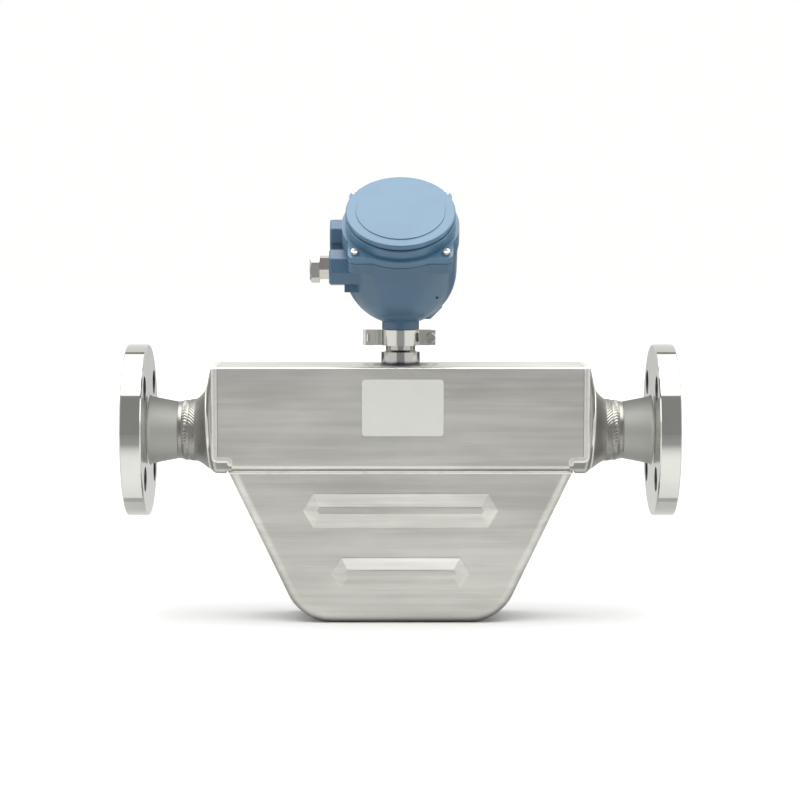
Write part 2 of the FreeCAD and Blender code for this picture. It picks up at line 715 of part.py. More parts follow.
def end_cap(name, **where):
    """Dished end of the case; a return and two feet reach under and beside the channel."""
    out, wall, wide = s.box_depth / 2, s.cap_wall, s.box_depth * 2
    outer = cap_form(name + "_outer", zero, -s.foot_reach)
    inner = cap_form(name + "_inner", wall, -overcut)
    skirt_end = s.skirt_gap - s.box_overhang
    behind = -s.foot_reach - overcut
    tools = [inner,
             block(name + "_inside", (behind, wall - out, cap_low + wall),
                   (-behind, (out - wall) * 2, wide)),
             block(name + "_above", (behind, -out - overcut, -s.foot_top), (-behind, wide, wide)),
             block(name + "_case_room", (behind, -out - overcut, cap_low - overcut),
                   (skirt_end - behind, wide, wall + overcut)),
             cylinder(name + "_boss_hole", s.boss_dia / 2 + s.clamp_gap, s.cap_depth + overcut,
                      first=Rotation(y_axis, 90))]
    return place(cut(name, outer, *tools), **where)


def half_form(name, inset, over):
    """The pressed form of a case half; inset moves its faces inwards, over lifts its top."""
    body = new_body(name)
    top = over - s.box_below
    low = inset - s.shell_below
    side = inset / cosine(s.shell_slope)
    rise = tangent(s.shell_slope)
    top_half = s.shell_half_width - side + (top + s.box_below) * rise
    low_half = s.shell_half_width - side - (s.shell_below - s.box_below - inset) * rise
    depth = s.shell_depth - inset
    pad(body, outline(new_sketch(body, "XZ_Plane"),
                      [(-top_half, top), (-low_half, low), (low_half, low), (top_half, top)]), depth)
    finish_edges(body, "Fillet", s.shell_corner - inset,
                 lambda e: runs_along(e, y_axis) and at(e.CenterOfMass.z, low))
    finish_edges(body, "Fillet", s.shell_round - inset,
                 lambda e: flat_at(e, y_axis, -depth) and not flat_at(e, z_axis, top))
    for length, width, below in ((s.upper_bead_length, s.upper_bead_width, s.upper_bead_below),
                                 (s.lower_bead_length, s.lower_bead_width, s.lower_bead_below)):
        bead(body, length - inset * 2, width - inset * 2, -below, depth, inset)
    return body


def bead(body, length, width, level, depth, inset):
    """A raised bead with pointed ends, lofted from its foot to its crest."""
    steps = []
    crest = length - s.crest_setback * 2
    for span, tall, point, lift in ((length, width, s.bead_point, depth - overcut),
                                    (length, width, s.bead_point, depth),
                                    (crest, s.bead_crest, s.crest_point, depth + s.bead_height)):
        left, right = -span / 2, span / 2
        low, high = level - tall / 2, level + tall / 2
        steps.append(outline(new_sketch(body, "XZ_Plane", lift),
                             [(left, level), (left + point, low), (right - point, low),
                              (right, level), (right - point, high), (left + point, high)]))
    pad(body, steps[0], overcut)
    loft = body.newObject("PartDesign::AdditiveLoft", "Loft")
    loft.Profile = steps[1]
    loft.Sections = [steps[2]]
    loft.Ruled = True
    doc.recompute()
    middle, half = level.number, width.number / 2 + near

    def on_bead(edge, at_depth):
        return flat_at(edge, y_axis, -at_depth) and abs(edge.CenterOfMass.z - middle) < half

    finish_edges(body, "Fillet", s.bead_round - inset, lambda e: on_bead(e, depth + s.bead_height))
    finish_edges(body, "Fillet", s.bead_round + inset,
                 lambda e: on_bead(e, depth) and e.BoundBox.ZLength < half)


def case_half(name, **where):
    outer = half_form(name + "_outer", zero, zero)
    inner = half_form(name + "_inner", s.case_wall, overcut)
    return place(cut(name, outer, inner), x=mid, **where)


case_channel("case_box")
end_cap("inlet_end_cap", x=mid - box_half, **inlet)
end_cap("outlet_end_cap", x=mid + box_half)
case_half("front_case_half")
case_half("rear_case_half", **inlet)


def label_plate(name):
    body = new_body(name)
    plate = oblong(s.label_width, s.label_height)
    pad(body, outline(new_sketch(body, "XZ_Plane"), plate), s.label_thick)
    finish_edges(body, "Fillet", s.label_corner, lambda e: runs_along(e, y_axis))
    return place(body, x=mid + s.label_shift, y=-s.box_depth / 2, z=s.label_lift)


label_plate("label_plate")


# flow tubes with their braces, coils and magnets

corner_reach = s.tube_bend * tangent(leg_angle / 2)
low_corner = tube_corner - s.tube_drop * tangent(s.shell_slope)
tube_end = boss_end + s.socket_depth


def tube_line(body):
    """Centreline of a loop: two ends on the pipe axis, two sloping legs and a level bottom."""
    sketch = new_sketch(body, "XZ_Plane")
    across, down = corner_reach * cosine(leg_angle), corner_reach * sine(leg_angle)
    right = [(tube_end, zero), (tube_corner + corner_reach, zero),
             (tube_corner - across, -down), (low_corner + across, down - s.tube_drop),
             (low_corner - corner_reach, -s.tube_drop)]
    spots = right + [(-x, z) for x, z in reversed(right)]
    vectors = [Vector(as_size(x).number, as_size(z).number, 0) for x, z in spots]
    turns = {1: (tube_corner + corner_reach, -s.tube_bend),
             3: (low_corner - corner_reach, s.tube_bend - s.tube_drop)}
    turns.update({len(spots) - 2 - i: (-x, z) for i, (x, z) in list(turns.items())})
    swapped = {}
    for i in range(len(spots) - 1):
        if i not in turns:
            sketch.addGeometry(Part.LineSegment(vectors[i], vectors[i + 1]))
            continue
        middle = Vector(turns[i][0].number, turns[i][1].number, 0)
        ends = [math.atan2(*reversed((spot - middle)[:2])) for spot in vectors[i:i + 2]]
        swapped[i] = (vectors[i] - middle).cross(vectors[i + 1] - middle).z < 0
        ends = ends[::-1] if swapped[i] else ends
        sketch.addGeometry(Part.ArcOfCircle(Part.Circle(middle, z_axis, s.tube_bend.number), *ends))
    for i in range(len(spots) - 1):
        if i not in turns:
            tie_points(sketch, [(i, 1, *spots[i]), (i, 2, *spots[i + 1])])
            continue
        first, last = (2, 1) if swapped[i] else (1, 2)
        sketch.addConstraint([Sketcher.Constraint("Coincident", i, first, i - 1, 2),
                              Sketcher.Constraint("Coincident", i, last, i + 1, 1)])
        rule = sketch.addConstraint(Sketcher.Constraint("Radius", i, s.tube_bend.number))
        sketch.setExpression(f"Constraints[{rule}]", s.tube_bend.text)
    return sketch, len(spots) - 1


def flow_tube(name, side):
    body = new_body(name)
    line, count = tube_line(body)
    ring = new_sketch(body, "YZ_Plane", tube_end)
    circle(ring, s.tube_dia / 2)
    circle(ring, s.tube_dia / 2 - s.tube_wall)
    pipe = body.newObject("PartDesign::AdditivePipe", "Pipe")
    pipe.Profile = ring
    pipe.Spine = (line, [f"Edge{i + 1}" for i in range(count)])
    doc.recompute()
    return place(body, x=mid, y=s.tube_pitch / 2 * side)


def brace(name, side):
    body = new_body(name)
    plate = oblong(s.brace_width, s.brace_height)
    pad(body, outline(new_sketch(body, "YZ_Plane"), plate), s.brace_thick)
    finish_edges(body, "Fillet", s.brace_round, lambda e: runs_along(e, x_axis))
    sketch = new_sketch(body, "YZ_Plane")
    for y in (-s.tube_pitch / 2, s.tube_pitch / 2):
        circle(sketch, s.tube_dia / 2 + s.brace_clear, y)
    pocket(body, sketch, s.brace_thick + overcut, reverse=True)
    reach = boss_end - s.brace_gap
    return place(body, x=mid + (reach - s.brace_thick if side > 0 else -reach))


# three stations on the loop: the drive at the bottom and a pickoff half way up each leg
leg_x = (tube_corner + low_corner) / 2
leg_z = -s.tube_drop / 2
stations = (("drive", mid, -s.tube_drop, zero), ("inlet_pickoff", mid - leg_x, leg_z, leg_angle),
            ("outlet_pickoff", mid + leg_x, leg_z, -leg_angle))
bracket_face = s.tube_pitch / 2 - s.bracket_thick / 2
coil_level = s.tube_dia / 2 + s.bracket_height - s.coil_dia / 2


def brackets(name, side):
    """Three upright plates, saddled on one tube."""
    plates = []
    for station, x, z, angle in stations:
        blank = block(name + "_blank", (-s.bracket_width / 2, -s.bracket_thick / 2, zero),
                      (s.bracket_width, s.bracket_thick, s.tube_dia / 2 + s.bracket_height))
        tube = cylinder(name + "_tube", s.tube_dia / 2 + s.tube_fit, s.bracket_width + overcut * 2,
                        x=-s.bracket_width / 2 - overcut, first=Rotation(y_axis, 90))
        plates.append(place(cut(name + "_" + station, blank, tube), x=x, y=s.tube_pitch / 2 * side,
                            z=z, axis=y_axis, angle=angle))
    return group(name, plates)


def on_station(thing, station, side):
    """Seat a coil or magnet, drawn along +Z from its bracket, on the bracket's inner face."""
    name, x, z, angle = station
    lift_x, lift_z = coil_level * sine(angle), coil_level * cosine(angle)
    return place(thing, x=x + lift_x, y=bracket_face * side, z=z + lift_z,
                 first=Rotation(x_axis, 90 * side))


def coil(name, station):
    outer, bore = s.coil_dia / 2, s.coil_bore / 2
    flange, wind = s.coil_flange, s.winding_dia / 2
    points = [(bore, zero), (outer, zero), (outer, flange), (wind, flange),
              (wind, s.coil_length - flange), (outer, s.coil_length - flange),
              (outer, s.coil_length), (bore, s.coil_length)]
    return on_station(turned(name, points), station, -1)


def magnet(name, station):
    """A holder with the magnet standing in it, reaching into the coil."""
    gap = bracket_face * 2 - s.coil_length
    tip = gap + s.magnet_entry
    yoke, rod = s.yoke_dia / 2, s.magnet_dia / 2
    points = [(zero, zero), (yoke, zero), (yoke, s.yoke_length), (rod, s.yoke_length),
              (rod, tip), (zero, tip)]
    return on_station(turned(name, points), station, 1)


flow_tube("flow_tube_front", -1)
flow_tube("flow_tube_rear", 1)
brace("inlet_brace", -1)
brace("outlet_brace", 1)
brackets("coil_brackets", -1)
brackets("magnet_brackets", 1)
for place_row in stations:
    coil(place_row[0] + "_coil", place_row)
    magnet(place_row[0] + "_magnet", place_row)


def temperature_probe(name):
    """Probe pushed into the inner face of the inlet manifold, its head against the face."""
    points = [(zero, -s.probe_depth), (s.probe_dia / 2, -s.probe_depth), (s.probe_dia / 2, zero),
              (s.probe_head_dia / 2, zero), (s.probe_head_dia / 2, s.probe_head), (zero, s.probe_head)]
    return place(turned(name, points), x=mid - boss_end, z=s.probe_lift, first=Rotation(y_axis, 90))


temperature_probe("temperature_sensor")


# neck and V-clamp

joint = s.box_rise + s.joint_rise
taper_end = s.ferrule_rim + s.ferrule_taper


def sensor_stub(name):
    bore, tube, rim = s.stub_bore / 2, s.stub_tube_dia / 2, s.ferrule_dia / 2
    low, top = s.box_rise, joint
    shoulder = low + s.stub_height
    seal_half = s.seal_cord / 2 + s.seal_room
    seal_in, seal_out = s.seal_dia / 2 - seal_half, s.seal_dia / 2 + seal_half
    floor = top - s.seal_cord
    points = [(bore, low), (s.stub_dia / 2, low), (s.stub_dia / 2, shoulder),
              (s.groove_dia / 2, shoulder), (tube, shoulder + s.groove_height),
              (tube, top - taper_end), (rim, top - s.ferrule_rim), (rim, top),
              (seal_out, top), (seal_out, floor), (seal_in, floor), (seal_in, top), (bore, top)]
    return place(turned(name, points), x=mid)


def seal_ring(name, middle_dia, cord, **where):
    ring = bind(doc.addObject("Part::Torus", name), Radius1=middle_dia / 2, Radius2=cord / 2)
    return place(ring, **where)


def feedthrough(name):
    """Sealed header with its pins, held in the bore of the stub."""
    level = joint - s.header_drop - s.header_thick
    parts = [cylinder(name + "_header", s.stub_bore / 2 - s.header_fit, s.header_thick, z=level)]
    for i in range(int(s.pin_count.number)):
        angle = as_size(i) * 360 / s.pin_count
        parts.append(cylinder(name + "_pin", s.pin_dia / 2, s.pin_length,
                              x=s.pin_circle / 2 * cosine(angle), y=s.pin_circle / 2 * sine(angle),
                              z=level + (s.header_thick - s.pin_length) / 2))
    return place(join(name, *parts), x=mid)


link_end = s.hinge_reach - s.link_width / 2 - s.hinge_play
link_room = s.link_thick * 2 + s.hinge_play * 2


def clamp_half(name, side):
    """Half of the V-band with its screw ear and its forked hinge arm; side is -1 for the front."""
    band, lip = s.clamp_dia / 2, s.stub_tube_dia / 2 + s.clamp_gap * 2
    inside, tall = s.ferrule_dia / 2 + s.clamp_gap, s.clamp_height / 2
    reach = taper_end + s.clamp_gap
    points = [(band, -tall), (band, tall), (lip, tall), (lip, reach), (inside, s.ferrule_rim),
              (inside, -s.ferrule_rim), (lip, -reach), (lip, -tall)]
    split = s.clamp_split / 2
    wide = s.clamp_dia * 2

    def slab(part, near_y, far_y, low_x, high_x, height):
        low_y = near_y if side > 0 else -far_y
        return block(name + part, (low_x, low_y, -height / 2), (high_x - low_x, far_y - near_y, height))

    ring = common(name + "_ring", turned(name + "_band", points),
                  slab("_half", split, s.clamp_dia, -wide / 2, wide / 2, s.clamp_height * 2))
    screw_x = s.ear_start + s.ear_width / 2
    web = slab("_web", split, s.web_reach, inside, screw_x, s.clamp_height)
    ear = slab("_ear", split, s.ear_reach, s.ear_start, s.ear_start + s.ear_width, s.ear_height)
    pin_y, knuckle = s.hinge_pitch / 2, s.knuckle_dia / 2
    arm = new_body(name + "_arm")
    crest = [(-link_end, split), (-link_end, pin_y + knuckle),
             (-s.arm_groove - s.arm_slope, pin_y + knuckle), (-s.arm_groove, s.arm_step),
             (-s.arm_groove, s.arm_floor), (-inside, s.arm_floor), (-inside, split)]
    pad(arm, outline(new_sketch(arm, "XY_Plane"), [(x, y * side) for x, y in crest]),
        s.clamp_height, middle=True)
    tines = slab("_tines", pin_y - knuckle, pin_y + knuckle, -s.hinge_reach, -link_end, s.clamp_height)
    barrel = cylinder(name + "_barrel", knuckle, s.clamp_height, x=-s.hinge_reach, y=pin_y * side, z=-tall)
    room = slab("_room", -wide, wide, -s.hinge_reach - s.knuckle_dia, -link_end, link_room)
    bore = cylinder(name + "_inside", inside, s.ferrule_rim * 2, z=-s.ferrule_rim)
    pin_hole = cylinder(name + "_pin_hole", s.hinge_pin_dia / 2 + s.hinge_play, s.clamp_height,
                        x=-s.hinge_reach, y=pin_y * side, z=-tall)
    lie = dict(first=Rotation(x_axis, -90 * side))
    hole = s.screw_dia / 2 + s.screw_play if side < 0 else s.screw_dia / 2 + s.hinge_play
    screw_hole = cylinder(name + "_screw_hole", hole, s.ear_reach + overcut, x=screw_x, **lie)
    recess = common(name + "_recess",
                    cylinder(name + "_arch", s.web_arch, s.web_reach, x=s.web_start,
                             y=(split + s.web_floor) * side, **lie),
                    slab("_beside", zero, wide, s.web_start, wide, s.clamp_height))
    solid = join(name + "_solid", ring, web, ear, arm, tines, barrel)
    return place(cut(name, solid, bore, pin_hole, screw_hole, room, recess), x=mid, z=joint)


def hinge_links(name):
    """Two links, one over the other, between the tines of the arms."""
    links = []
    half, end = s.hinge_pitch / 2, s.link_width / 2
    for low in (-s.link_thick, zero):
        bar = block(name + "_bar", (-s.hinge_reach - end, -half, low),
                    (s.link_width, s.hinge_pitch, s.link_thick))
        ends = [cylinder(name + "_end", end, s.link_thick, x=-s.hinge_reach, y=y, z=low)
                for y in (-half, half)]
        holes = [cylinder(name + "_hole", s.hinge_pin_dia / 2 + s.hinge_play, s.link_thick + overcut * 2,
                          x=-s.hinge_reach, y=y, z=low - overcut) for y in (-half, half)]
        links.append(cut(name + "_link", join(name + "_solid", bar, *ends), *holes))
    return place(group(name, links), x=mid, z=joint)


def hinge_pins(name):
    pins = [cylinder(name + "_pin", s.hinge_pin_dia / 2, s.clamp_height, x=-s.hinge_reach,
                     y=s.hinge_pitch / 2 * side, z=-s.clamp_height / 2) for side in (-1, 1)]
    return place(group(name, pins), x=mid, z=joint)


def socket_screw(name, thread, head_dia, head, length, socket, **where):
    """Socket head screw drawn head up, with the underside of its head at the origin."""
    radius, rim, tip = thread / 2, head_dia / 2, s.tip_bevel
    points = [(zero, -length), (radius - tip, -length), (radius, tip - length), (radius, zero), (rim, zero),
              (rim, head - s.head_bevel), (rim - s.head_bevel, head), (zero, head)]
    key = prism(name + "_key", 6, socket, s.key_depth + overcut, z=head - s.key_depth)
    return place(cut(name, turned(name + "_blank", points), key), **where)


sensor_stub("head_stub")
seal_ring("joint_seal", s.seal_dia, s.seal_cord, x=mid, z=joint - s.seal_cord / 2)
feedthrough("feedthrough")
clamp_half("clamp_front_half", -1)
clamp_half("clamp_rear_half", 1)
hinge_links("hinge_links")
hinge_pins("hinge_pins")
socket_screw("clamp_screw", s.screw_dia, s.screw_head_dia, s.screw_head,
             s.ear_reach * 2 - s.screw_play, s.screw_socket,
             x=mid + s.ear_start + s.ear_width / 2, y=-s.ear_reach, z=joint,
             axis=x_axis, angle=quarter_turn)


# electronics head, drawn about the middle of its dome and then tilted to the front

dome = joint + s.dome_rise
seam = s.body_height
flange_top = s.body_height + s.lid_flange
shelf_bore = s.well_dia - s.shelf_width * 2
module_circle = s.well_dia - s.shelf_width


def in_head(thing):
    return place(thing, x=mid, z=dome, axis=x_axis, angle=s.head_tilt)


def flange_plate(name, low, thick):
    """The flange outline: a square with rounded corners laid over a circle, bevelled at the seam."""
    body = new_body(name + "_square")
    plate = oblong(s.flange_square, s.flange_square)
    pad(body, outline(new_sketch(body, "XY_Plane", low), plate), thick)
    finish_edges(body, "Fillet", s.flange_corner, lambda e: runs_along(e, z_axis))
    finish_edges(body, "Chamfer", s.seam_bevel, lambda e: flat_at(e, z_axis, seam))
    radius, far_side = s.flange_round / 2, low * 2 + thick - seam
    bevel = s.seam_bevel if far_side.number > seam.number else -s.seam_bevel
    points = [(zero, seam), (radius - s.seam_bevel, seam), (radius, seam + bevel), (radius, far_side),
              (zero, far_side)]
    return body, turned(name + "_round", points)


def corner_spots():
    half = s.screw_pitch / 2
    return [(x, y) for x in (-half, half) for y in (-half, half)]


def entry_y(side):
    return s.entry_pitch / 2 * side


def housing(name):
    dome_radius, mouth = s.dome_dia / 2, s.mouth_dia / 2
    ball = bind(doc.addObject("Part::Sphere", name + "_dome"), Radius=dome_radius)
    wall = bind(doc.addObject("Part::Cone", name + "_wall"), Radius1=dome_radius, Radius2=mouth,
                Height=seam)
    plates = flange_plate(name + "_flange", seam - s.body_flange, s.body_flange)
    upright = dict(axis=x_axis, angle=-s.head_tilt)
    clear = s.clamp_height / 2 + s.collar_gap
    neck_low = -s.dome_rise + clear

    def from_neck(thing, x, y, z, **lie):
        """Place a thing that stands upright, from the middle of the dome."""
        lean, rise = sine(s.head_tilt), cosine(s.head_tilt)
        return place(thing, x=x, y=y * rise + z * lean, z=z * rise - y * lean, **upright, **lie)

    tube, rim = s.stub_tube_dia / 2, s.ferrule_dia / 2
    collar = s.collar_dia / 2
    neck_top = collar - dome_radius
    points = [(zero, -s.dome_rise), (rim, -s.dome_rise), (rim, -s.dome_rise + s.ferrule_rim),
              (tube, -s.dome_rise + taper_end), (tube, neck_low), (collar, neck_low),
              (collar, neck_top), (zero, neck_top)]
    neck = place(turned(name + "_neck", points), **upright)
    flat_pad = bind(doc.addObject("Part::Cone", name + "_pad"), Radius1=s.pad_dia / 2,
                    Radius2=s.pad_dia / 2 + s.pad_slope, Height=s.pad_slope)
    from_neck(flat_pad, s.pad_reach, zero, -s.pad_drop)
    lug = doc.addObject("Part::Box", name + "_lug")
    bind(lug, Length=s.lug_reach / 2, Width=s.lug_depth, Height=s.lug_width)
    lug_y = -s.entry_level * sine(s.head_tilt) - entry_y(1) * cosine(s.head_tilt)
    from_neck(lug, -s.lug_reach, lug_y, -s.lug_drop)
    entries, bores = [], []
    for side in (-1, 1):
        blank = prism(name + "_entry_blank", 8, s.entry_flats, s.entry_reach)
        doc.recompute()
        entry = rounded(name + "_entry", blank,
                        lambda e: s.entry_round if e.CenterOfMass.z > near else None)
        entries.append(place(entry, y=entry_y(side), z=s.entry_level, axis=y_axis, angle=as_size(-90),
                             first=Rotation(z_axis, 22.5)))
        bores.append(cylinder(name + "_bore", s.entry_bore / 2, s.entry_reach + overcut,
                              y=entry_y(side), z=s.entry_level, first=Rotation(y_axis, -90)))
        mouth_cone = bind(doc.addObject("Part::Cone", name + "_mouth"), Radius1=s.entry_bore / 2,
                          Radius2=s.entry_bore / 2 + s.entry_edge, Height=s.entry_edge)
        bores.append(place(mouth_cone, x=s.entry_edge - s.entry_reach, y=entry_y(side),
                           z=s.entry_level, first=Rotation(y_axis, -90)))
    cavity = turned(name + "_cavity",
                    [(zero, -s.sump_drop), (shelf_bore / 2, -s.sump_drop),
                     (shelf_bore / 2, -s.shelf_drop), (s.well_dia / 2, -s.shelf_drop),
                     (s.well_dia / 2, s.cavity_floor - (s.cavity_dia - s.well_dia) / 2),
                     (s.cavity_dia / 2, s.cavity_floor), (s.cavity_dia / 2, seam + overcut),
                     (zero, seam + overcut)])
    wires = place(cylinder(name + "_wires", s.wire_bore / 2, s.dome_rise - s.sump_drop / 2),
                  y=-(s.dome_rise + overcut) * sine(s.head_tilt),
                  z=-(s.dome_rise + overcut) * cosine(s.head_tilt), **upright)
    tapped = [cylinder(name + "_tapped", s.lid_screw_dia / 2, s.body_flange + overcut, x=x, y=y,
                       z=seam - s.body_flange + overcut) for x, y in corner_spots()]
    for i in range(int(s.module_screw_count.number)):
        angle = as_size(i) * 360 / s.module_screw_count
        tapped.append(cylinder(name + "_module_hole", s.module_screw_dia / 2,
                               s.module_screw_grip + overcut, x=module_circle / 2 * cosine(angle),
                               y=module_circle / 2 * sine(angle), z=-s.shelf_drop - s.module_screw_grip))
    surface = root(dome_radius * dome_radius - s.vent_shift * s.vent_shift - s.vent_drop * s.vent_drop)
    vent = from_neck(cylinder(name + "_vent", s.vent_dia / 2, s.vent_depth + overcut),
                     s.vent_shift, s.vent_depth - surface, -s.vent_drop, first=Rotation(x_axis, 90))
    body = join(name + "_solid", ball, wall, *plates, neck, flat_pad, lug, *entries)
    top = block(name + "_above", (-s.dome_dia, -s.dome_dia, seam), (s.dome_dia * 2,) * 2 + (s.dome_dia,))
    return in_head(cut(name, body, top, cavity, wires, vent, *bores, *tapped))


def lid(name):
    """Cast lid: flange, body, groove and top disc over a hollow with a spigot below."""
    hood, disc = s.hood_dia / 2, s.disc_dia / 2
    hood_top = flange_top + s.hood_height
    groove_top = hood_top + s.hood_groove
    disc_top = groove_top + s.disc_thick
    plateau = disc_top + s.plateau_height
    inner = s.lid_cavity_dia / 2
    spigot = s.spigot_dia / 2
    cord, level = s.ring_cord / 2, seam - s.ring_level
    groove = spigot - s.ring_cord + s.ring_squeeze
    points = [(inner, seam - s.spigot_depth), (spigot, seam - s.spigot_depth), (spigot, level - cord),
              (groove, level - cord), (groove, level + cord),
              (spigot, level + cord), (spigot, seam + s.lid_flange / 2),
              (hood, seam + s.lid_flange / 2),
              (hood, hood_top - s.edge_round), (hood - s.edge_round, hood_top),
              (s.hood_groove_dia / 2, hood_top), (s.hood_groove_dia / 2, groove_top),
              (disc - s.edge_round / 2, groove_top), (disc, groove_top + s.edge_round / 2),
              (disc, disc_top - s.edge_round), (disc - s.edge_round, disc_top),
              (s.plateau_dia / 2, disc_top), (s.plateau_dia / 2 - s.plateau_height / 2, plateau),
              (zero, plateau), (zero, disc_top - s.lid_top_wall), (inner, disc_top - s.lid_top_wall)]
    round_part = turned(name + "_round_part", points)
    plates = flange_plate(name + "_flange", seam, s.lid_flange)
    inside = cylinder(name + "_inside", inner, s.lid_flange + overcut * 2, z=seam - overcut)
    holes = [cylinder(name + "_hole", s.lid_screw_dia / 2 + s.screw_play, s.lid_flange + overcut * 2,
                      x=x, y=y, z=seam - overcut) for x, y in corner_spots()]
    plate = cut(name + "_plate", join(name + "_plates", *plates), inside, *holes)
    return in_head(join(name, round_part, plate))


def lid_screws(name):
    screws = [socket_screw(f"{name}_{i}", s.lid_screw_dia, s.lid_head_dia, s.lid_head,
                           s.lid_screw_length, s.lid_socket, x=x, y=y, z=flange_top)
              for i, (x, y) in enumerate(corner_spots(), start=1)]
    return in_head(group(name, screws))


def electronics(name):
    """Potted module on the shelf of the housing, with a rim for its screws."""
    radius, low = s.well_dia / 2 - s.module_play, -s.shelf_drop
    core = radius - s.shelf_width
    points = [(zero, low), (radius, low), (radius, low + s.module_rim),
              (core, low + s.module_rim + s.module_taper), (core, low + s.module_height),
              (zero, low + s.module_height)]
    blank = turned(name + "_blank", points)
    holes = []
    for i in range(int(s.module_screw_count.number)):
        angle = as_size(i) * 360 / s.module_screw_count
        x, y = module_circle / 2 * cosine(angle), module_circle / 2 * sine(angle)
        holes.append(cylinder(name + "_hole", s.module_screw_dia / 2 + s.hinge_play,
                              s.module_height + overcut, x=x, y=y, z=low - overcut))
        holes.append(cylinder(name + "_seat", s.module_screw_head / 2 + s.screw_play, s.module_height,
                              x=x, y=y, z=low + s.module_rim))
    return in_head(cut(name, blank, *holes))


def module_screws(name):
    screws = []
    for i in range(int(s.module_screw_count.number)):
        angle = as_size(i) * 360 / s.module_screw_count
        screws.append(socket_screw(f"{name}_{i}", s.module_screw_dia, s.module_screw_head,
                                   s.module_screw_dia, s.module_rim + s.module_screw_grip - s.screw_play,
                                   s.module_socket, x=module_circle / 2 * cosine(angle),
                                   y=module_circle / 2 * sine(angle),
                                   z=s.module_rim - s.shelf_drop))
    return in_head(group(name, screws))


def terminal_block(name):
    body = new_body(name)
    low = s.module_height - s.shelf_drop
    plate = oblong(s.terminal_length, s.terminal_depth)
    pad(body, outline(new_sketch(body, "XY_Plane", low), plate), s.terminal_height)
    count = int(s.terminal_count.number)
    holes = new_sketch(body, "XY_Plane", low + s.terminal_height)
    for i in range(count):
        for row in (-1, 1):
            circle(holes, s.terminal_hole / 2, s.terminal_length / count * (i - (count - 1) / 2),
                   s.terminal_depth / 4 * row)
    pocket(body, holes, s.terminal_sink)
    return in_head(body)


def in_entry(thing, x):
    """Lay a thing drawn along Z into the front conduit entry, its own +Z pointing outwards."""
    return place(thing, x=x, y=entry_y(-1), z=s.entry_level, first=Rotation(y_axis, -90))


def gland_body(name):
    end = s.gland_body_length
    spigot = s.entry_bore / 2 - s.gland_fit
    seat = s.gland_seat / 2
    points = [(s.gland_bore / 2, -s.gland_spigot), (spigot - s.entry_edge, -s.gland_spigot),
              (spigot, s.entry_edge - s.gland_spigot), (spigot, zero), (seat, end / 2),
              (seat, end), (s.gland_bore / 2, end)]
    core = turned(name + "_core", points)
    hexagon = prism(name + "_hex", 6, s.gland_flats, end)
    bore = cylinder(name + "_bore", s.gland_bore / 2, end + overcut * 2, z=-overcut)
    solid = join(name + "_solid", core, cut(name + "_collar", hexagon, bore))
    return in_head(group(name, [in_entry(solid, -s.entry_reach)]))


def gland_nut(name):
    length, bevel = s.gland_nut_length, s.nut_bevel
    corner = s.gland_nut_flats / 2 + bevel
    hexagon = prism(name + "_hex", 6, s.gland_nut_flats, length)
    cone = turned(name + "_cone", [(zero, zero), (corner, zero), (corner, length - bevel),
                                   (corner - bevel - bevel / 2, length), (zero, length)])
    bore = cylinder(name + "_bore", s.gland_bore / 2, length + overcut * 2, z=-overcut)
    seat = cylinder(name + "_seat", s.gland_seat / 2, s.gland_seal_length + overcut, z=-overcut)
    solid = cut(name + "_solid", common(name + "_blank", hexagon, cone), bore, seat)
    return in_head(group(name, [in_entry(solid, -s.entry_reach - s.gland_body_length)]))


def gland_seal(name):
    length = s.gland_seal_length
    inner, outer = s.gland_seal_bore / 2, s.gland_seat / 2 - s.gland_fit
    ring = turned(name + "_ring", [(inner, zero), (outer, zero), (outer, length), (inner, length)])
    return in_head(group(name, [in_entry(ring, -s.entry_reach - s.gland_body_length)]))


housing("housing")
lid("lid")
in_head(group("lid_seal", [seal_ring("lid_seal_ring", s.cavity_dia - s.ring_cord,
                                     s.ring_cord - s.hinge_play * 2, z=seam - s.ring_level)]))
lid_screws("lid_screws")
electronics("core_module")
module_screws("module_screws")
terminal_block("terminal_block")
gland_body("gland_body")
gland_nut("gland_nut")
gland_seal("gland_seal")

node_names = (
    "inlet_flange", "outlet_flange", "inlet_weld", "outlet_weld", "inlet_manifold", "outlet_manifold",
    "case_box", "inlet_end_cap", "outlet_end_cap", "front_case_half", "rear_case_half", "label_plate",
    "flow_tube_front", "flow_tube_rear", "inlet_brace", "outlet_brace", "coil_brackets",
    "magnet_brackets", "drive_coil", "drive_magnet", "inlet_pickoff_coil", "inlet_pickoff_magnet",
    "outlet_pickoff_coil", "outlet_pickoff_magnet", "temperature_sensor", "head_stub", "joint_seal",
    "feedthrough", "clamp_front_half", "clamp_rear_half", "hinge_links", "hinge_pins", "clamp_screw",
    "housing", "lid", "lid_seal", "lid_screws", "core_module", "module_screws", "terminal_block",
    "gland_body", "gland_nut", "gland_seal")

doc.recompute()
failed = [item.Name for item in doc.Objects if {"Invalid", "Error"} & set(item.State)]
if failed:
    raise ValueError(f"these did not compute: {failed}")
os.makedirs("parts", exist_ok=True)
for node in node_names:
    piece = doc.getObject(node)
    piece.Label = node
    if piece.Shape.isNull() or not piece.Shape.isValid():
        raise ValueError(f"{node} has no valid shape")
    piece.Shape.exportStep(f"parts/{node}.step")
    print(node, len(piece.Shape.Solids), round(piece.Shape.Volume))
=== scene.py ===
import math

import bmesh
import bpy
import numpy as np
from mathutils import Matrix, Vector


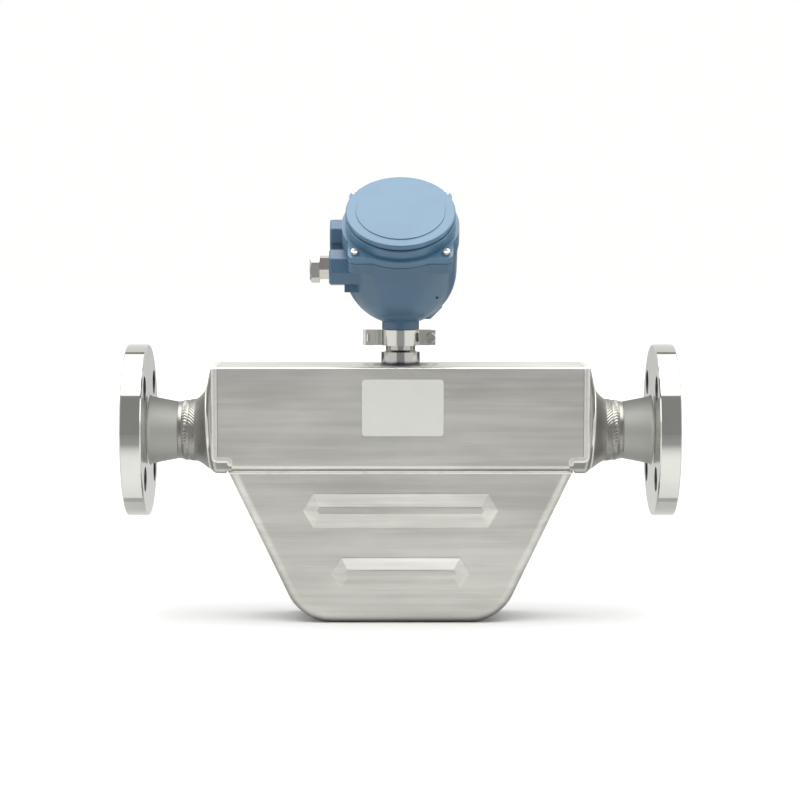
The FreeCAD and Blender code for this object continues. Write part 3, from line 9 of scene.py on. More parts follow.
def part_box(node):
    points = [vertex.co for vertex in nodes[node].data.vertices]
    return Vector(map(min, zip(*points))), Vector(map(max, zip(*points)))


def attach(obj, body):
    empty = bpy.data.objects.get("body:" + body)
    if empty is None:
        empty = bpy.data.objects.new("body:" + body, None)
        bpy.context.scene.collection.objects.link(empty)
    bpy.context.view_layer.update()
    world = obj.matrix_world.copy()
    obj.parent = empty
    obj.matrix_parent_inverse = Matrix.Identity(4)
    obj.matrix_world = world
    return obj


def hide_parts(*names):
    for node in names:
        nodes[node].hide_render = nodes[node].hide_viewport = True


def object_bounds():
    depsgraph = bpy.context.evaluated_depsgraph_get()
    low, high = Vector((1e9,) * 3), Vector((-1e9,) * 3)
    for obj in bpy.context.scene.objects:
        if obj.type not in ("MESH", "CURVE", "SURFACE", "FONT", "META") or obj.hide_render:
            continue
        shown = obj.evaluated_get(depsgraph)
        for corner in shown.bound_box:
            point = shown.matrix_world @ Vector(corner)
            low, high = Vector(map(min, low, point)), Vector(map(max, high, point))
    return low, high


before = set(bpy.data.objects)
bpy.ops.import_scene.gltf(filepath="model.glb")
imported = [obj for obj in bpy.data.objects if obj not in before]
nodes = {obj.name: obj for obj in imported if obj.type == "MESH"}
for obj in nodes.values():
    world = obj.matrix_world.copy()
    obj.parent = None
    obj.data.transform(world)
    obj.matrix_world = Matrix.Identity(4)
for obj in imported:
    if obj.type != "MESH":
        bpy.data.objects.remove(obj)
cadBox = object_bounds()

mm = 0.001
tau = 2 * math.pi

# what the pieces below are fitted to, read from the model
inletFlange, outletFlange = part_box("inlet_flange"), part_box("outlet_flange")
midX = (inletFlange[0].x + outletFlange[1].x) / 2
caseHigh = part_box("case_box")[1]
stubLow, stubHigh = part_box("head_stub")


# shader helpers

class Flow:
    # a node socket that can be used in Python expressions
    def __init__(self, shade, socket):
        self.shade, self.socket = shade, socket

    def __add__(self, other):
        return self.shade.maths("ADD", self, other)

    def __radd__(self, other):
        return self.shade.maths("ADD", other, self)

    def __sub__(self, other):
        return self.shade.maths("SUBTRACT", self, other)

    def __rsub__(self, other):
        return self.shade.maths("SUBTRACT", other, self)

    def __mul__(self, other):
        return self.shade.maths("MULTIPLY", self, other)

    def __rmul__(self, other):
        return self.shade.maths("MULTIPLY", other, self)

    def __truediv__(self, other):
        return self.shade.maths("DIVIDE", self, other)


class Shade:
    # one node tree, of a material or of the world
    def __init__(self, tree):
        self.tree = tree
        tree.nodes.clear()

    def node(self, kind, settings=None, out=0, **sockets):
        # sockets: by name, with _ for a space, or by number as i0, i1 and so on
        made = self.tree.nodes.new(kind)
        for name, value in (settings or {}).items():
            setattr(made, name, value)
        for name, value in sockets.items():
            numbered = name[0] == "i" and name[1:].isdigit()
            target = made.inputs[int(name[1:]) if numbered else name.replace("_", " ")]
            if isinstance(value, Flow):
                self.tree.links.new(value.socket, target)
            else:
                target.default_value = value
        return Flow(self, made.outputs[out]) if len(made.outputs) else None

    def maths(self, operation, a, b=0.0):
        return self.node("ShaderNodeMath", {"operation": operation}, i0=a, i1=b)

    def smooth(self, value, low, high):
        # 0 below low, 1 above high, a soft step between
        return self.node("ShaderNodeMapRange", {"interpolation_type": "SMOOTHSTEP"},
                         Value=value, From_Min=low, From_Max=high)

    def blend(self, share, first, second):
        return self.node("ShaderNodeMix", {"data_type": "RGBA"}, out=2, i0=share, i6=first, i7=second)

    def place(self):
        return self.node("ShaderNodeTexCoord", out=3)

    def mapped(self, scale, offset=(0, 0, 0)):
        return self.node("ShaderNodeMapping", Vector=self.place(), Location=offset, Scale=scale)

    def noise(self, where, scale, detail=3.0, rough=0.5):
        return self.node("ShaderNodeTexNoise", Vector=where, Scale=scale, Detail=detail,
                         Roughness=rough)

    def axes(self, where):
        made = self.node("ShaderNodeSeparateXYZ", Vector=where)
        return [Flow(self, made.socket.node.outputs[i]) for i in range(3)]

    def bump(self, height, strength, distance):
        return self.node("ShaderNodeBump", Height=height, Strength=strength, Distance=distance)


def newMaterial(name, **surface):
    # surface: constants for the shader's own sockets; the caller links what varies
    material = bpy.data.materials.new(name)
    material.use_nodes = True
    shade = Shade(material.node_tree)
    body = shade.node("ShaderNodeBsdfPrincipled", **surface)
    shade.node("ShaderNodeOutputMaterial", Surface=body)
    shade.surface = body.socket.node
    shade.material = material
    return shade


def feed(shade, **links):
    for name, value in links.items():
        shade.tree.links.new(value.socket, shade.surface.inputs[name.replace("_", " ")])
    return shade.material


def linear(red, green, blue):
    # sRGB bytes to a linear colour
    shares = [c / 255 for c in (red, green, blue)]
    return tuple(c / 12.92 if c <= 0.04045 else ((c + 0.055) / 1.055) ** 2.4 for c in shares) + (1.0,)


# finishes

# how often each pattern of the sheet repeats in a metre, along X and across it
brushing = {"streaks": (14.0, 900.0, 900.0), "broad": (5.0, 160.0, 160.0), "stains": (9.0, 20.0, 30.0),
            "scratches": (3.5, 225.0, 225.0)}


def satinSheet(name, light, dark, rough, tint=()):
    # rolled and brushed sheet: long streaks along X, soft stains, fine bump, and with tint a straw
    # and a blue ring round the neck
    shade = newMaterial(name, Metallic=1.0)
    streaks = shade.noise(shade.mapped(brushing["streaks"]), 1.0, 4.0, 0.6)
    broad = shade.noise(shade.mapped(brushing["broad"], (0.7, 2.1, 1.3)), 1.0, 3.0, 0.5)
    stains = shade.noise(shade.mapped(brushing["stains"]), 1.0, 3.0, 0.55)
    scratches = shade.noise(shade.mapped(brushing["scratches"], (3.1, 1.7, 0.4)), 1.0, 2.0, 0.5)
    tone = streaks * 0.2 + broad * 0.4 + stains * 0.4
    colour = shade.blend(shade.smooth(tone, 0.36, 0.64), dark, light)
    if tint:
        x, y, z = shade.axes(shade.place())
        away = shade.maths("SQRT", (x - midX) * (x - midX) + y * y) + (broad - 0.5) * (6.0 * mm)
        for inner, outer, hue in tint:
            middle, reach = (inner + outer) / 2, (outer - inner) / 2
            ring = 1.0 - shade.smooth(shade.maths("ABSOLUTE", away - middle), reach * 0.2, reach)
            colour = shade.blend(ring * tintShare, colour, hue)
    feed(shade, Base_Color=colour,
         Roughness=rough + (streaks - 0.5) * 0.16 + (stains - 0.5) * 0.12,
         Normal=shade.bump(streaks * 0.6 + scratches * 0.4, 0.2, 0.06 * mm))
    return shade.material


# where a flange changes its finish, and where its holes take painted shade: edges as distances from
# the pipe axis or from a hole's axis, and the back face and the holes as distances from the middle of the
# meter and from the pipe axis
flangeZones = {"rim": (76.8 * mm, 77.4 * mm), "hub": (22.5 * mm, 23.5 * mm), "hubEnd": (40 * mm, 41 * mm),
               "hole": (11.11 * mm, 11.22 * mm), "backFace": 227.6 * mm, "boltAt": 40.41 * mm}


def turnedSteel(name, light, dark, hubLight, hubDark, facing, rim, hubRough, topShadeStrength):
    # lathe-turned part about the pipe axis: fine rings on the faces, a polished rim, bolt holes in a
    # painted dark shade and a duller, forged hub behind it, with painted shade over its top
    shade = newMaterial(name, Metallic=1.0)
    x, y, z = shade.axes(shade.place())
    radius = shade.maths("SQRT", y * y + z * z)
    ringPlace = shade.node("ShaderNodeCombineXYZ", X=radius * 1600.0, Y=x * 1600.0, Z=0.0)
    rings = shade.noise(ringPlace, 1.0, 2.0, 0.5)
    cloud = shade.noise(shade.mapped((24.0, 24.0, 24.0)), 1.0, 3.0, 0.5)
    zones = flangeZones
    onRim = shade.smooth(radius, *zones["rim"])
    behind = zones["backFace"] - 1.0 * mm, zones["backFace"] - 0.4 * mm
    inside = 1.0 - shade.smooth(shade.maths("ABSOLUTE", x - midX), *behind)
    onHub = shade.smooth(radius, *zones["hub"]) * (1.0 - shade.smooth(radius, *zones["hubEnd"])) * inside
    offY = shade.maths("ABSOLUTE", y) - zones["boltAt"]
    offZ = shade.maths("ABSOLUTE", z) - zones["boltAt"]
    inHole = 1.0 - shade.smooth(shade.maths("SQRT", offY * offY + offZ * offZ), *zones["hole"])
    rough = facing + (cloud - 0.5) * 0.12 + (rings - 0.5) * 0.06
    rough = rough + (hubRough - rough) * onHub
    rough = rough + (0.5 - rough) * inHole
    face = shade.blend(cloud, dark, light)
    # the hub's base colour is darker towards its top: painted shade, not a finish seen on the object,
    # but a tone fitted so that the hub under the softbox renders as grey as in the photograph
    paintedTopShade = shade.smooth(z / radius, 0.15, 0.90) * topShadeStrength
    hub = shade.blend(paintedTopShade, shade.blend(cloud, hubDark, hubLight), linear(70, 70, 67))
    # the bores of the bolt holes take a dark grey: painted shade inside the holes
    colour = shade.blend(inHole, shade.blend(onHub, face, hub), linear(96, 95, 92))
    feed(shade, Base_Color=colour, Roughness=rough + (rim - rough) * onRim,
         Normal=shade.bump(rings * (1.0 - onRim * 0.85), 0.18, 0.04 * mm))
    return shade.material


def blastedCasting(name, light, dark, rough):
    # bead-blasted casting: fine grain and slow clouds
    shade = newMaterial(name, Metallic=1.0)
    grain = shade.noise(shade.mapped((1400.0, 1400.0, 1400.0)), 1.0, 2.0, 0.6)
    cloud = shade.noise(shade.mapped((30.0, 30.0, 30.0)), 1.0, 4.0, 0.55)
    feed(shade, Base_Color=shade.blend(shade.smooth(cloud, 0.3, 0.7), dark, light),
         Roughness=rough + (cloud - 0.5) * 0.15,
         Normal=shade.bump(grain, 0.3, 0.08 * mm))
    return shade.material


def weldMetal(name, light, straw, rough):
    # weld bead with patches of a second, warmer tone
    shade = newMaterial(name, Metallic=1.0)
    cloud = shade.noise(shade.mapped((120.0, 120.0, 120.0)), 1.0, 3.0, 0.6)
    grain = shade.noise(shade.mapped((1800.0, 1800.0, 1800.0)), 1.0, 2.0, 0.5)
    feed(shade, Base_Color=shade.blend(shade.smooth(cloud, 0.45, 0.8), light, straw),
         Roughness=rough + cloud * 0.16,
         Normal=shade.bump(grain, 0.2, 0.05 * mm))
    return shade.material


def enamel(name, colour, deep, coat):
    # stoved enamel on a casting: orange peel under a thin glossy coat, in two close tones
    shade = newMaterial(name, Metallic=0.0, IOR=1.46, Coat_Weight=coat, Coat_Roughness=0.10)
    peel = shade.noise(shade.mapped((520.0, 520.0, 520.0)), 1.0, 2.0, 0.5)
    cloud = shade.noise(shade.mapped((18.0, 18.0, 18.0)), 1.0, 3.0, 0.5)
    feed(shade, Base_Color=shade.blend(shade.smooth(cloud, 0.35, 0.65), deep, colour),
         Roughness=0.36 + (cloud - 0.5) * 0.08,
         Normal=shade.bump(peel, 0.16, 0.12 * mm))
    return shade.material


def plainGrain(name, colour, second, metallic, rough, grainScale=900.0, strength=0.2):
    # small parts: a fine grain and a slight change of tone
    shade = newMaterial(name, Metallic=metallic)
    grain = shade.noise(shade.mapped((grainScale,) * 3), 1.0, 2.0, 0.5)
    cloud = shade.noise(shade.mapped((60.0, 60.0, 60.0)), 1.0, 3.0, 0.5)
    feed(shade, Base_Color=shade.blend(cloud, second, colour),
         Roughness=rough + (cloud - 0.5) * 0.12,
         Normal=shade.bump(grain, strength, 0.05 * mm))
    return shade.material


def clampSteel(name, light, dark, armTone, band, arms):
    # V-clamp: a polished band round the neck, tumbled and duller at the hinge arms to its left
    shade = newMaterial(name, Metallic=1.0)
    x, y, z = shade.axes(shade.place())
    grain = shade.noise(shade.mapped((900.0, 900.0, 900.0)), 1.0, 2.0, 0.5)
    cloud = shade.noise(shade.mapped((60.0, 60.0, 60.0)), 1.0, 3.0, 0.5)
    onArms = 1.0 - shade.smooth(x - midX, -21.5 * mm, -20.0 * mm)
    feed(shade, Base_Color=shade.blend(onArms, shade.blend(cloud, dark, light), armTone),
         Roughness=band + (arms - band) * onArms + (cloud - 0.5) * 0.10,
         Normal=shade.bump(grain, 0.2, 0.05 * mm))
    return shade.material


def neckSteel(name, light, dark, tinted, rough):
    # turned stub: fine turning rings about the neck, and a dark blue over its lowest millimetres
    shade = newMaterial(name, Metallic=1.0)
    x, y, z = shade.axes(shade.place())
    rings = shade.noise(shade.node("ShaderNodeCombineXYZ", X=z * 2400.0, Y=0.0, Z=0.0), 1.0, 2.0, 0.5)
    cloud = shade.noise(shade.mapped((80.0, 80.0, 80.0)), 1.0, 3.0, 0.5)
    darkBlue = 1.0 - shade.smooth(z + (cloud - 0.5) * (3.0 * mm), stubLow.z + 1.0 * mm,
                               stubLow.z + 4.5 * mm)
    feed(shade, Base_Color=shade.blend(darkBlue, shade.blend(cloud, dark, light), tinted),
         Roughness=rough + (rings - 0.5) * 0.08, Normal=shade.bump(rings, 0.2, 0.04 * mm))
    return shade.material


def wound(name, copper, gap, pitch):
    # enamelled wire wound about the Y axis
    shade = newMaterial(name, Metallic=0.6, Roughness=0.3)
    x, y, z = shade.axes(shade.place())
    turns = shade.maths("SINE", y * (tau / pitch)) * 0.5 + 0.5
    feed(shade, Base_Color=shade.blend(turns, gap, copper), Normal=shade.bump(turns, 0.6, 0.1 * mm))
    return shade.material


# rings of tint round the neck: inner and outer radius and hue
neckRings = [(14.0 * mm, 29.0 * mm, linear(46, 48, 70)), (27.5 * mm, 36.5 * mm, linear(168, 150, 122))]
tintShare = 0.85
finishes = {
    "turned": turnedSteel("turnedFlangeSteel", linear(214, 214, 209), linear(192, 192, 187),
                          linear(184, 184, 179), linear(170, 170, 165), 0.22, 0.06, 0.62, 0.72),
    "channel": satinSheet("channelSheet", linear(217, 216, 210), linear(197, 196, 190), 0.42, neckRings),
    "sheet": satinSheet("satinCaseSheet", linear(212, 211, 205), linear(190, 189, 183), 0.42),
    "cap": blastedCasting("blastedCap", linear(180, 179, 173), linear(160, 159, 153), 0.34),
    "casting": blastedCasting("blastedManifold", linear(158, 157, 152), linear(138, 137, 132), 0.42),
    "weld": weldMetal("weldMetal", linear(152, 152, 146), linear(130, 128, 118), 0.22),
    "bead": weldMetal("groundBead", linear(224, 223, 218), linear(212, 209, 200), 0.36),
    # the bead round the neck: a dark blue-grey weld metal
    "darkBlue": weldMetal("darkBlueBead", linear(92, 92, 104), linear(70, 68, 92), 0.30),
    "clamp": clampSteel("clampSteel", linear(222, 222, 217), linear(210, 209, 204),
                        linear(228, 227, 222), 0.13, 0.30),
    "neck": neckSteel("turnedNeck", linear(192, 191, 187), linear(176, 175, 172),
                      linear(52, 52, 68), 0.10),
    "bright": plainGrain("brightScrews", linear(222, 220, 216), linear(200, 198, 194), 1.0, 0.14,
                         1500.0, 0.1),
    "bolt": plainGrain("tumbledScrew", linear(206, 204, 200), linear(168, 167, 163), 1.0, 0.30,
                       700.0, 0.5),
    "tube": plainGrain("drawnTube", linear(214, 213, 208), linear(196, 195, 190), 1.0, 0.2),
    # body and lid wear one blue enamel kept as two copies: the lid's is lighter, painted light on the lid
    # that faces the softbox
    "body": enamel("blueEnamelBody", linear(70, 102, 127), linear(65, 96, 120), 0.2),
    "lid": enamel("blueEnamelLid", linear(75, 112, 137), linear(70, 105, 130), 0.35),
    "gland": plainGrain("nickelPlatedBrass", linear(206, 204, 199), linear(184, 182, 177), 1.0, 0.14),
    "film": plainGrain("labelFilm", linear(208, 209, 203), linear(203, 204, 198), 0.0, 0.3, 700.0, 0.05),
    "rubber": plainGrain("sealRubber", linear(30, 30, 31), linear(22, 22, 23), 0.0, 0.6),
    "winding": wound("coilWinding", linear(186, 96, 46), linear(70, 30, 14), 0.6 * mm),
    "magnet": plainGrain("magnetPlating", linear(186, 186, 188), linear(160, 160, 163), 1.0, 0.18),
    "potting": plainGrain("pottedModule", linear(34, 35, 38), linear(26, 27, 30), 0.0, 0.45),
    "terminal": plainGrain("terminalPlastic", linear(52, 118, 74), linear(44, 104, 64), 0.0, 0.35),
}
nodeFinish = {
    "inlet_flange": "turned", "outlet_flange": "turned", "inlet_manifold": "casting",
    "outlet_manifold": "casting", "inlet_weld": "weld", "outlet_weld": "weld", "case_box": "channel",
    "inlet_end_cap": "cap", "outlet_end_cap": "cap", "front_case_half": "sheet",
    "rear_case_half": "sheet", "label_plate": "film", "flow_tube_front": "tube",
    "flow_tube_rear": "tube", "inlet_brace": "tube", "outlet_brace": "tube", "coil_brackets": "tube",
    "magnet_brackets": "tube", "drive_coil": "winding", "inlet_pickoff_coil": "winding",
    "outlet_pickoff_coil": "winding", "drive_magnet": "magnet", "inlet_pickoff_magnet": "magnet",
    "outlet_pickoff_magnet": "magnet", "temperature_sensor": "tube", "head_stub": "neck",
    "joint_seal": "rubber", "feedthrough": "magnet", "clamp_front_half": "clamp",
    "clamp_rear_half": "clamp", "hinge_links": "clamp", "hinge_pins": "bright",
    "clamp_screw": "bolt", "housing": "body", "lid": "lid", "lid_seal": "rubber",
    "lid_screws": "bright", "core_module": "potting", "module_screws": "bright",
    "terminal_block": "terminal", "gland_body": "gland", "gland_nut": "gland", "gland_seal": "rubber",
}
for nodeName, finish in nodeFinish.items():
    slots = nodes[nodeName].data.materials
    slots.clear()
    slots.append(finishes[finish])
print("finishes given to", len(nodeFinish), "nodes")


# mesh helpers

def gridPiece(name, points, finish, body, closeU=False, closeV=False, replaced=()):
    # points[u, v] is a grid of places; neighbouring rows and columns are joined by quads, and open
    # ends of a grid whose rows are closed loops get a flat face each
    rows, columns = points.shape[:2]
    u = np.arange(rows if closeU else rows - 1)
    v = np.arange(columns if closeV else columns - 1)
    u, v = np.meshgrid(u, v, indexing="ij")
    nextU, nextV = (u + 1) % rows, (v + 1) % columns
    quads = np.stack([u * columns + v, nextU * columns + v, nextU * columns + nextV,
                      u * columns + nextV], axis=-1).reshape(-1, 4)
    corners, starts = quads.reshape(-1), np.arange(0, quads.size, 4)
    if closeV and not closeU:
        ring = np.arange(columns)
        corners = np.concatenate([corners, ring, (rows - 1) * columns + ring[::-1]])
        starts = np.append(starts, [quads.size, quads.size + columns])
    mesh = bpy.data.meshes.new(name)
    mesh.vertices.add(rows * columns)
    mesh.vertices.foreach_set("co", points.reshape(-1).astype(np.float32))
    mesh.loops.add(corners.size)
    mesh.loops.foreach_set("vertex_index", corners.astype(np.int32))
    mesh.polygons.add(len(starts))
    mesh.polygons.foreach_set("loop_start", starts.astype(np.int32))
    mesh.polygons.foreach_set("use_smooth", np.ones(len(starts), bool))
    mesh.update(calc_edges=True)
    mesh.materials.append(finishes[finish])
    piece = bpy.data.objects.new(name, mesh)
    bpy.context.scene.collection.objects.link(piece)
    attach(piece, body)
    if replaced:
        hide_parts(*replaced)
    return piece


def unit(vectors):
    return vectors / np.linalg.norm(vectors, axis=-1, keepdims=True)


def ripples(phase):
    # a wave that rises slowly and falls fast, as the edge of each frozen weld pool does
    phase = phase % 1.0
    return np.where(phase < 0.72, phase / 0.72, (1 - phase) / 0.28)


def roundedRoute(corners, rounds, spacing):
    # straight runs joined by arcs: a corner is cut back by round * tan(turn / 2), its arc is
    # centre + round * (cos * side + sin * direction), and the whole is sampled evenly
    corners = np.array(corners)
    route = [corners[:1]]
    for before, corner, after, bend in zip(corners, corners[1:], corners[2:], rounds):
        into, away = unit(corner - before), unit(after - corner)
        turn = math.acos(float(into @ away))
        start = corner - into * bend * math.tan(turn / 2)
        side = unit(into * (into @ away) - away)
        angles = np.linspace(0, turn, 12)[:, None]
        route.append(start - side * bend + bend * (np.cos(angles) * side + np.sin(angles) * into))
    route.append(corners[-1:])
    route = np.concatenate(route)
    reach = np.concatenate([[0], np.cumsum(np.linalg.norm(np.diff(route, axis=0), axis=1))])
    even = np.linspace(0, reach[-1], max(int(reach[-1] / spacing), 8))
    return np.stack([np.interp(even, reach, route[:, i]) for i in range(3)], axis=1)


# weld beads that follow a joint: across the bead, from v = -1 to 1, the height is
# (crown + ripple * wave) * (1 - v * v), less the toe that sinks into the metal, and the wave lags
# towards the toes. An open bead is rounded off at its ends. Under its toes a bead narrows to its
# root, rootShare of its width, which lies hidden in the metal.

rootShare = 0.7
beadForms = {
    "cap": {"half": 2.9 * mm, "crown": 0.62 * mm, "ripple": 0.14 * mm, "pitch": 1.9 * mm, "lag": 0.8,
            "toe": 0.24 * mm, "depth": 1.2 * mm, "across": 15, "spacing": 0.34 * mm, "scallop": 0.10},
    "foot": {"half": 1.9 * mm, "crown": 1.15 * mm, "ripple": 0.06 * mm, "pitch": 1.7 * mm, "lag": 0.7,
             "toe": 0.25 * mm, "depth": 1.6 * mm, "across": 13, "spacing": 0.5 * mm, "scallop": 0.04},
    "lip": {"half": 1.5 * mm, "crown": 0.75 * mm, "ripple": 0.05 * mm, "pitch": 1.6 * mm, "lag": 0.7,
            "toe": 0.20 * mm, "depth": 1.0 * mm, "across": 11, "spacing": 0.5 * mm, "scallop": 0.04},
    "seam": {"half": 1.9 * mm, "crown": 0.45 * mm, "ripple": 0.08 * mm, "pitch": 1.7 * mm, "lag": 0.8,
             "toe": 0.15 * mm, "depth": 0.8 * mm, "across": 11, "spacing": 0.5 * mm, "scallop": 0.08},
    "neck": {"half": 1.5 * mm, "crown": 0.9 * mm, "ripple": 0.10 * mm, "pitch": 1.6 * mm, "lag": 0.7,
             "toe": 0.20 * mm, "depth": 1.2 * mm, "across": 13, "spacing": 0.4 * mm, "scallop": 0.08},
}


def beadAlong(name, form, spots, normals, closed=False, finish="bead"):
    # a bead whose middle runs through the spots and which stands up along the normals
    s = beadForms[form]
    if closed:
        step = np.roll(spots, -1, 0) - np.roll(spots, 1, 0)
        hops = np.linalg.norm(np.roll(spots, -1, 0) - spots, axis=1)
        reach, total = np.cumsum(hops) - hops, hops.sum()
    else:
        step = np.gradient(spots, axis=0)
        hops = np.linalg.norm(np.diff(spots, axis=0), axis=1)
        reach, total = np.concatenate([[0], np.cumsum(hops)]), hops.sum()
    along = unit(step)
    normals = unit(normals - along * np.sum(normals * along, axis=1, keepdims=True))
    side = np.cross(normals, along)
    v = np.linspace(-1, 1, s["across"])[None, :]
    toEnd = np.ones_like(reach) if closed else np.clip(
        np.minimum(reach, total - reach) / s["half"], 0.02, 1)
    taper = np.sqrt(1 - (1 - toEnd) ** 2)[:, None]
    count = round(total / s["pitch"])
    wave = ripples(reach[:, None] / total * count - s["lag"] * v * v)
    high = (s["crown"] + s["ripple"] * wave) * (1 - v * v) * taper - s["toe"]
    wide = s["half"] * v * taper * (1 + s["scallop"] * (wave - 0.5))
    under = np.array([[rootShare, -rootShare]]) * s["half"] * taper
    wide = np.concatenate([wide, under], axis=1)[..., None]
    high = np.concatenate([high, 0 * under - s["toe"] - s["depth"] * taper], axis=1)[..., None]
    points = spots[:, None, :] + side[:, None, :] * wide + normals[:, None, :] * high
    return gridPiece(name, points, finish, "meter_body", closed, True)


# the bead between an end cap and the channel: up the front from its foot, over the top and down
# the rear. Its normal leaves the rounded section of the channel squarely.

capBead = {"jointX": 166.0 * mm, "footX": 152.3 * mm, "footZ": -23.6 * mm, "endZ": -29.4 * mm,
           "turn": 3.2 * mm, "hook": 2.2 * mm, "topBend": 2.4 * mm}
boxOut, boxTop = caseHigh.y, caseHigh.z


def capRoute(side):
    s = capBead
    joint, foot = midX + side * s["jointX"], midX + side * s["footX"]
    front = [(foot, -boxOut, s["endZ"]), (foot, -boxOut, s["footZ"]), (joint, -boxOut, s["footZ"]),
             (joint, -boxOut, boxTop)]
    rear = [(x, -y, z) for x, y, z in reversed(front)]
    bends = [s["hook"], s["turn"], s["topBend"], s["topBend"], s["turn"], s["hook"]]
    spots = roundedRoute(front + rear, bends, beadForms["cap"]["spacing"])
    outY = np.sign(spots[:, 1]) * np.maximum(np.abs(spots[:, 1]) - (boxOut - s["topBend"]), 0)
    outZ = np.maximum(spots[:, 2] - (boxTop - s["topBend"]), 0)
    return spots, unit(np.stack([0 * outY, outY, outZ], axis=1))


for side, name in ((-1, "inletCapBead"), (1, "outletCapBead")):
    beadAlong(name, "cap", *capRoute(side))


# the fillet where a manifold's flare lands on the dished cap: a circle round the pipe whose place
# along the pipe is that of the dish, a ball; the normal halves the angle between the two

flareFoot = {"radius": 38.0 * mm, "lift": 2.8 * mm, "flareAt": 173.0 * mm, "shrink": 0.95,
             "dish": 190.0 * mm, "dishX": -13.0 * mm, "dishZ": 11.8 * mm, "proud": 0.2 * mm}


def flareRoute(side):
    s = flareFoot
    turn = np.linspace(0, tau, 480, endpoint=False) * side
    y, z = s["radius"] * np.cos(turn), s["lift"] + s["radius"] * np.sin(turn)
    along = s["dishX"] + np.sqrt(s["dish"] ** 2 - y ** 2 - (z - s["dishZ"]) ** 2)
    radius = s["radius"] - s["shrink"] * np.maximum(along - s["flareAt"], 0) + s["proud"]
    spots = np.stack([midX + side * (along + s["proud"]), radius * np.cos(turn),
                      s["lift"] + radius * np.sin(turn)], axis=1)
    normals = np.stack([0 * turn + side, np.cos(turn), np.sin(turn)], axis=1)
    return spots, unit(normals)


for side, name in ((-1, "inletFlareBead"), (1, "outletFlareBead")):
    beadAlong(name, "foot", *flareRoute(side), closed=True)


# the run that joins each case half to the channel's lip, the seam between the halves, and the
# ring round the neck

caseSeams = {"lipX": 154.0 * mm, "lipY": 36.5 * mm, "lipZ": -35.1 * mm, "topX": 155.4 * mm,
             "topZ": -33.6 * mm, "lowX": 89.0 * mm, "lowZ": -171.0 * mm, "corner": 44.0 * mm,
             "neckProud": 0.1 * mm}


def lipRoute(side):
    s = caseSeams
    ends = [(midX + s["lipX"] * side, s["lipY"] * side, s["lipZ"]),
            (midX - s["lipX"] * side, s["lipY"] * side, s["lipZ"])]
    spots = roundedRoute(ends, [], beadForms["lip"]["spacing"])
    return spots, np.tile([0.0, side, 0.0], (len(spots), 1))


def seamRoute():
    s = caseSeams
    corners = [(midX - s["topX"], 0.0, s["topZ"]), (midX - s["lowX"], 0.0, s["lowZ"]),
               (midX + s["lowX"], 0.0, s["lowZ"]), (midX + s["topX"], 0.0, s["topZ"])]
    spots = roundedRoute(corners, [s["corner"]] * 2, beadForms["seam"]["spacing"])
    along = unit(np.gradient(spots, axis=0))
    return spots, np.stack([along[:, 2], 0 * along[:, 1], -along[:, 0]], axis=1)


def neckRoute():
    turn = np.linspace(0, tau, 300, endpoint=False)
    radius = (stubHigh.x - stubLow.x) / 2 + caseSeams["neckProud"]
    spots = np.stack([midX + radius * np.cos(turn), radius * np.sin(turn),
                      0 * turn + boxTop + caseSeams["neckProud"]], axis=1)
    return spots, unit(np.stack([np.cos(turn), np.sin(turn), 0 * turn + 1], axis=1))


beadAlong("frontLipBead", "lip", *lipRoute(-1))
beadAlong("rearLipBead", "lip", *lipRoute(1))
beadAlong("caseSeamBead", "seam", *seamRoute())
beadAlong("neckBead", "neck", *neckRoute(), closed=True, finish="darkBlue")
print("case beads made")


# butt welds between the flange hubs and the manifolds: a ring whose radius follows hub, pipe and
# flare and rises in overlapping ripples. The first pass has chevrons with a round nose, the second
# leans on it and its ripples fall away towards the case.

buttWeld = {"around": 640, "across": 40, "bore": 20.45 * mm, "hub": 25.8 * mm, "pipe": 27.3 * mm,
            "flare": 27.9 * mm, "over": 2.6 * mm, "smooth": 0.24, "first": 0.60, "crown": 0.55 * mm,
            "ripple": 0.52 * mm, "pitch": 2.9 * mm, "nose": 0.9, "lean": 2.1, "toe": 0.5 * mm,
            "smoothCrown": 0.3, "secondLag": 0.35, "leanPower": 1.2,
            "uneven": [(0.10, 5, 1.0), (0.07, 11, 2.0)]}


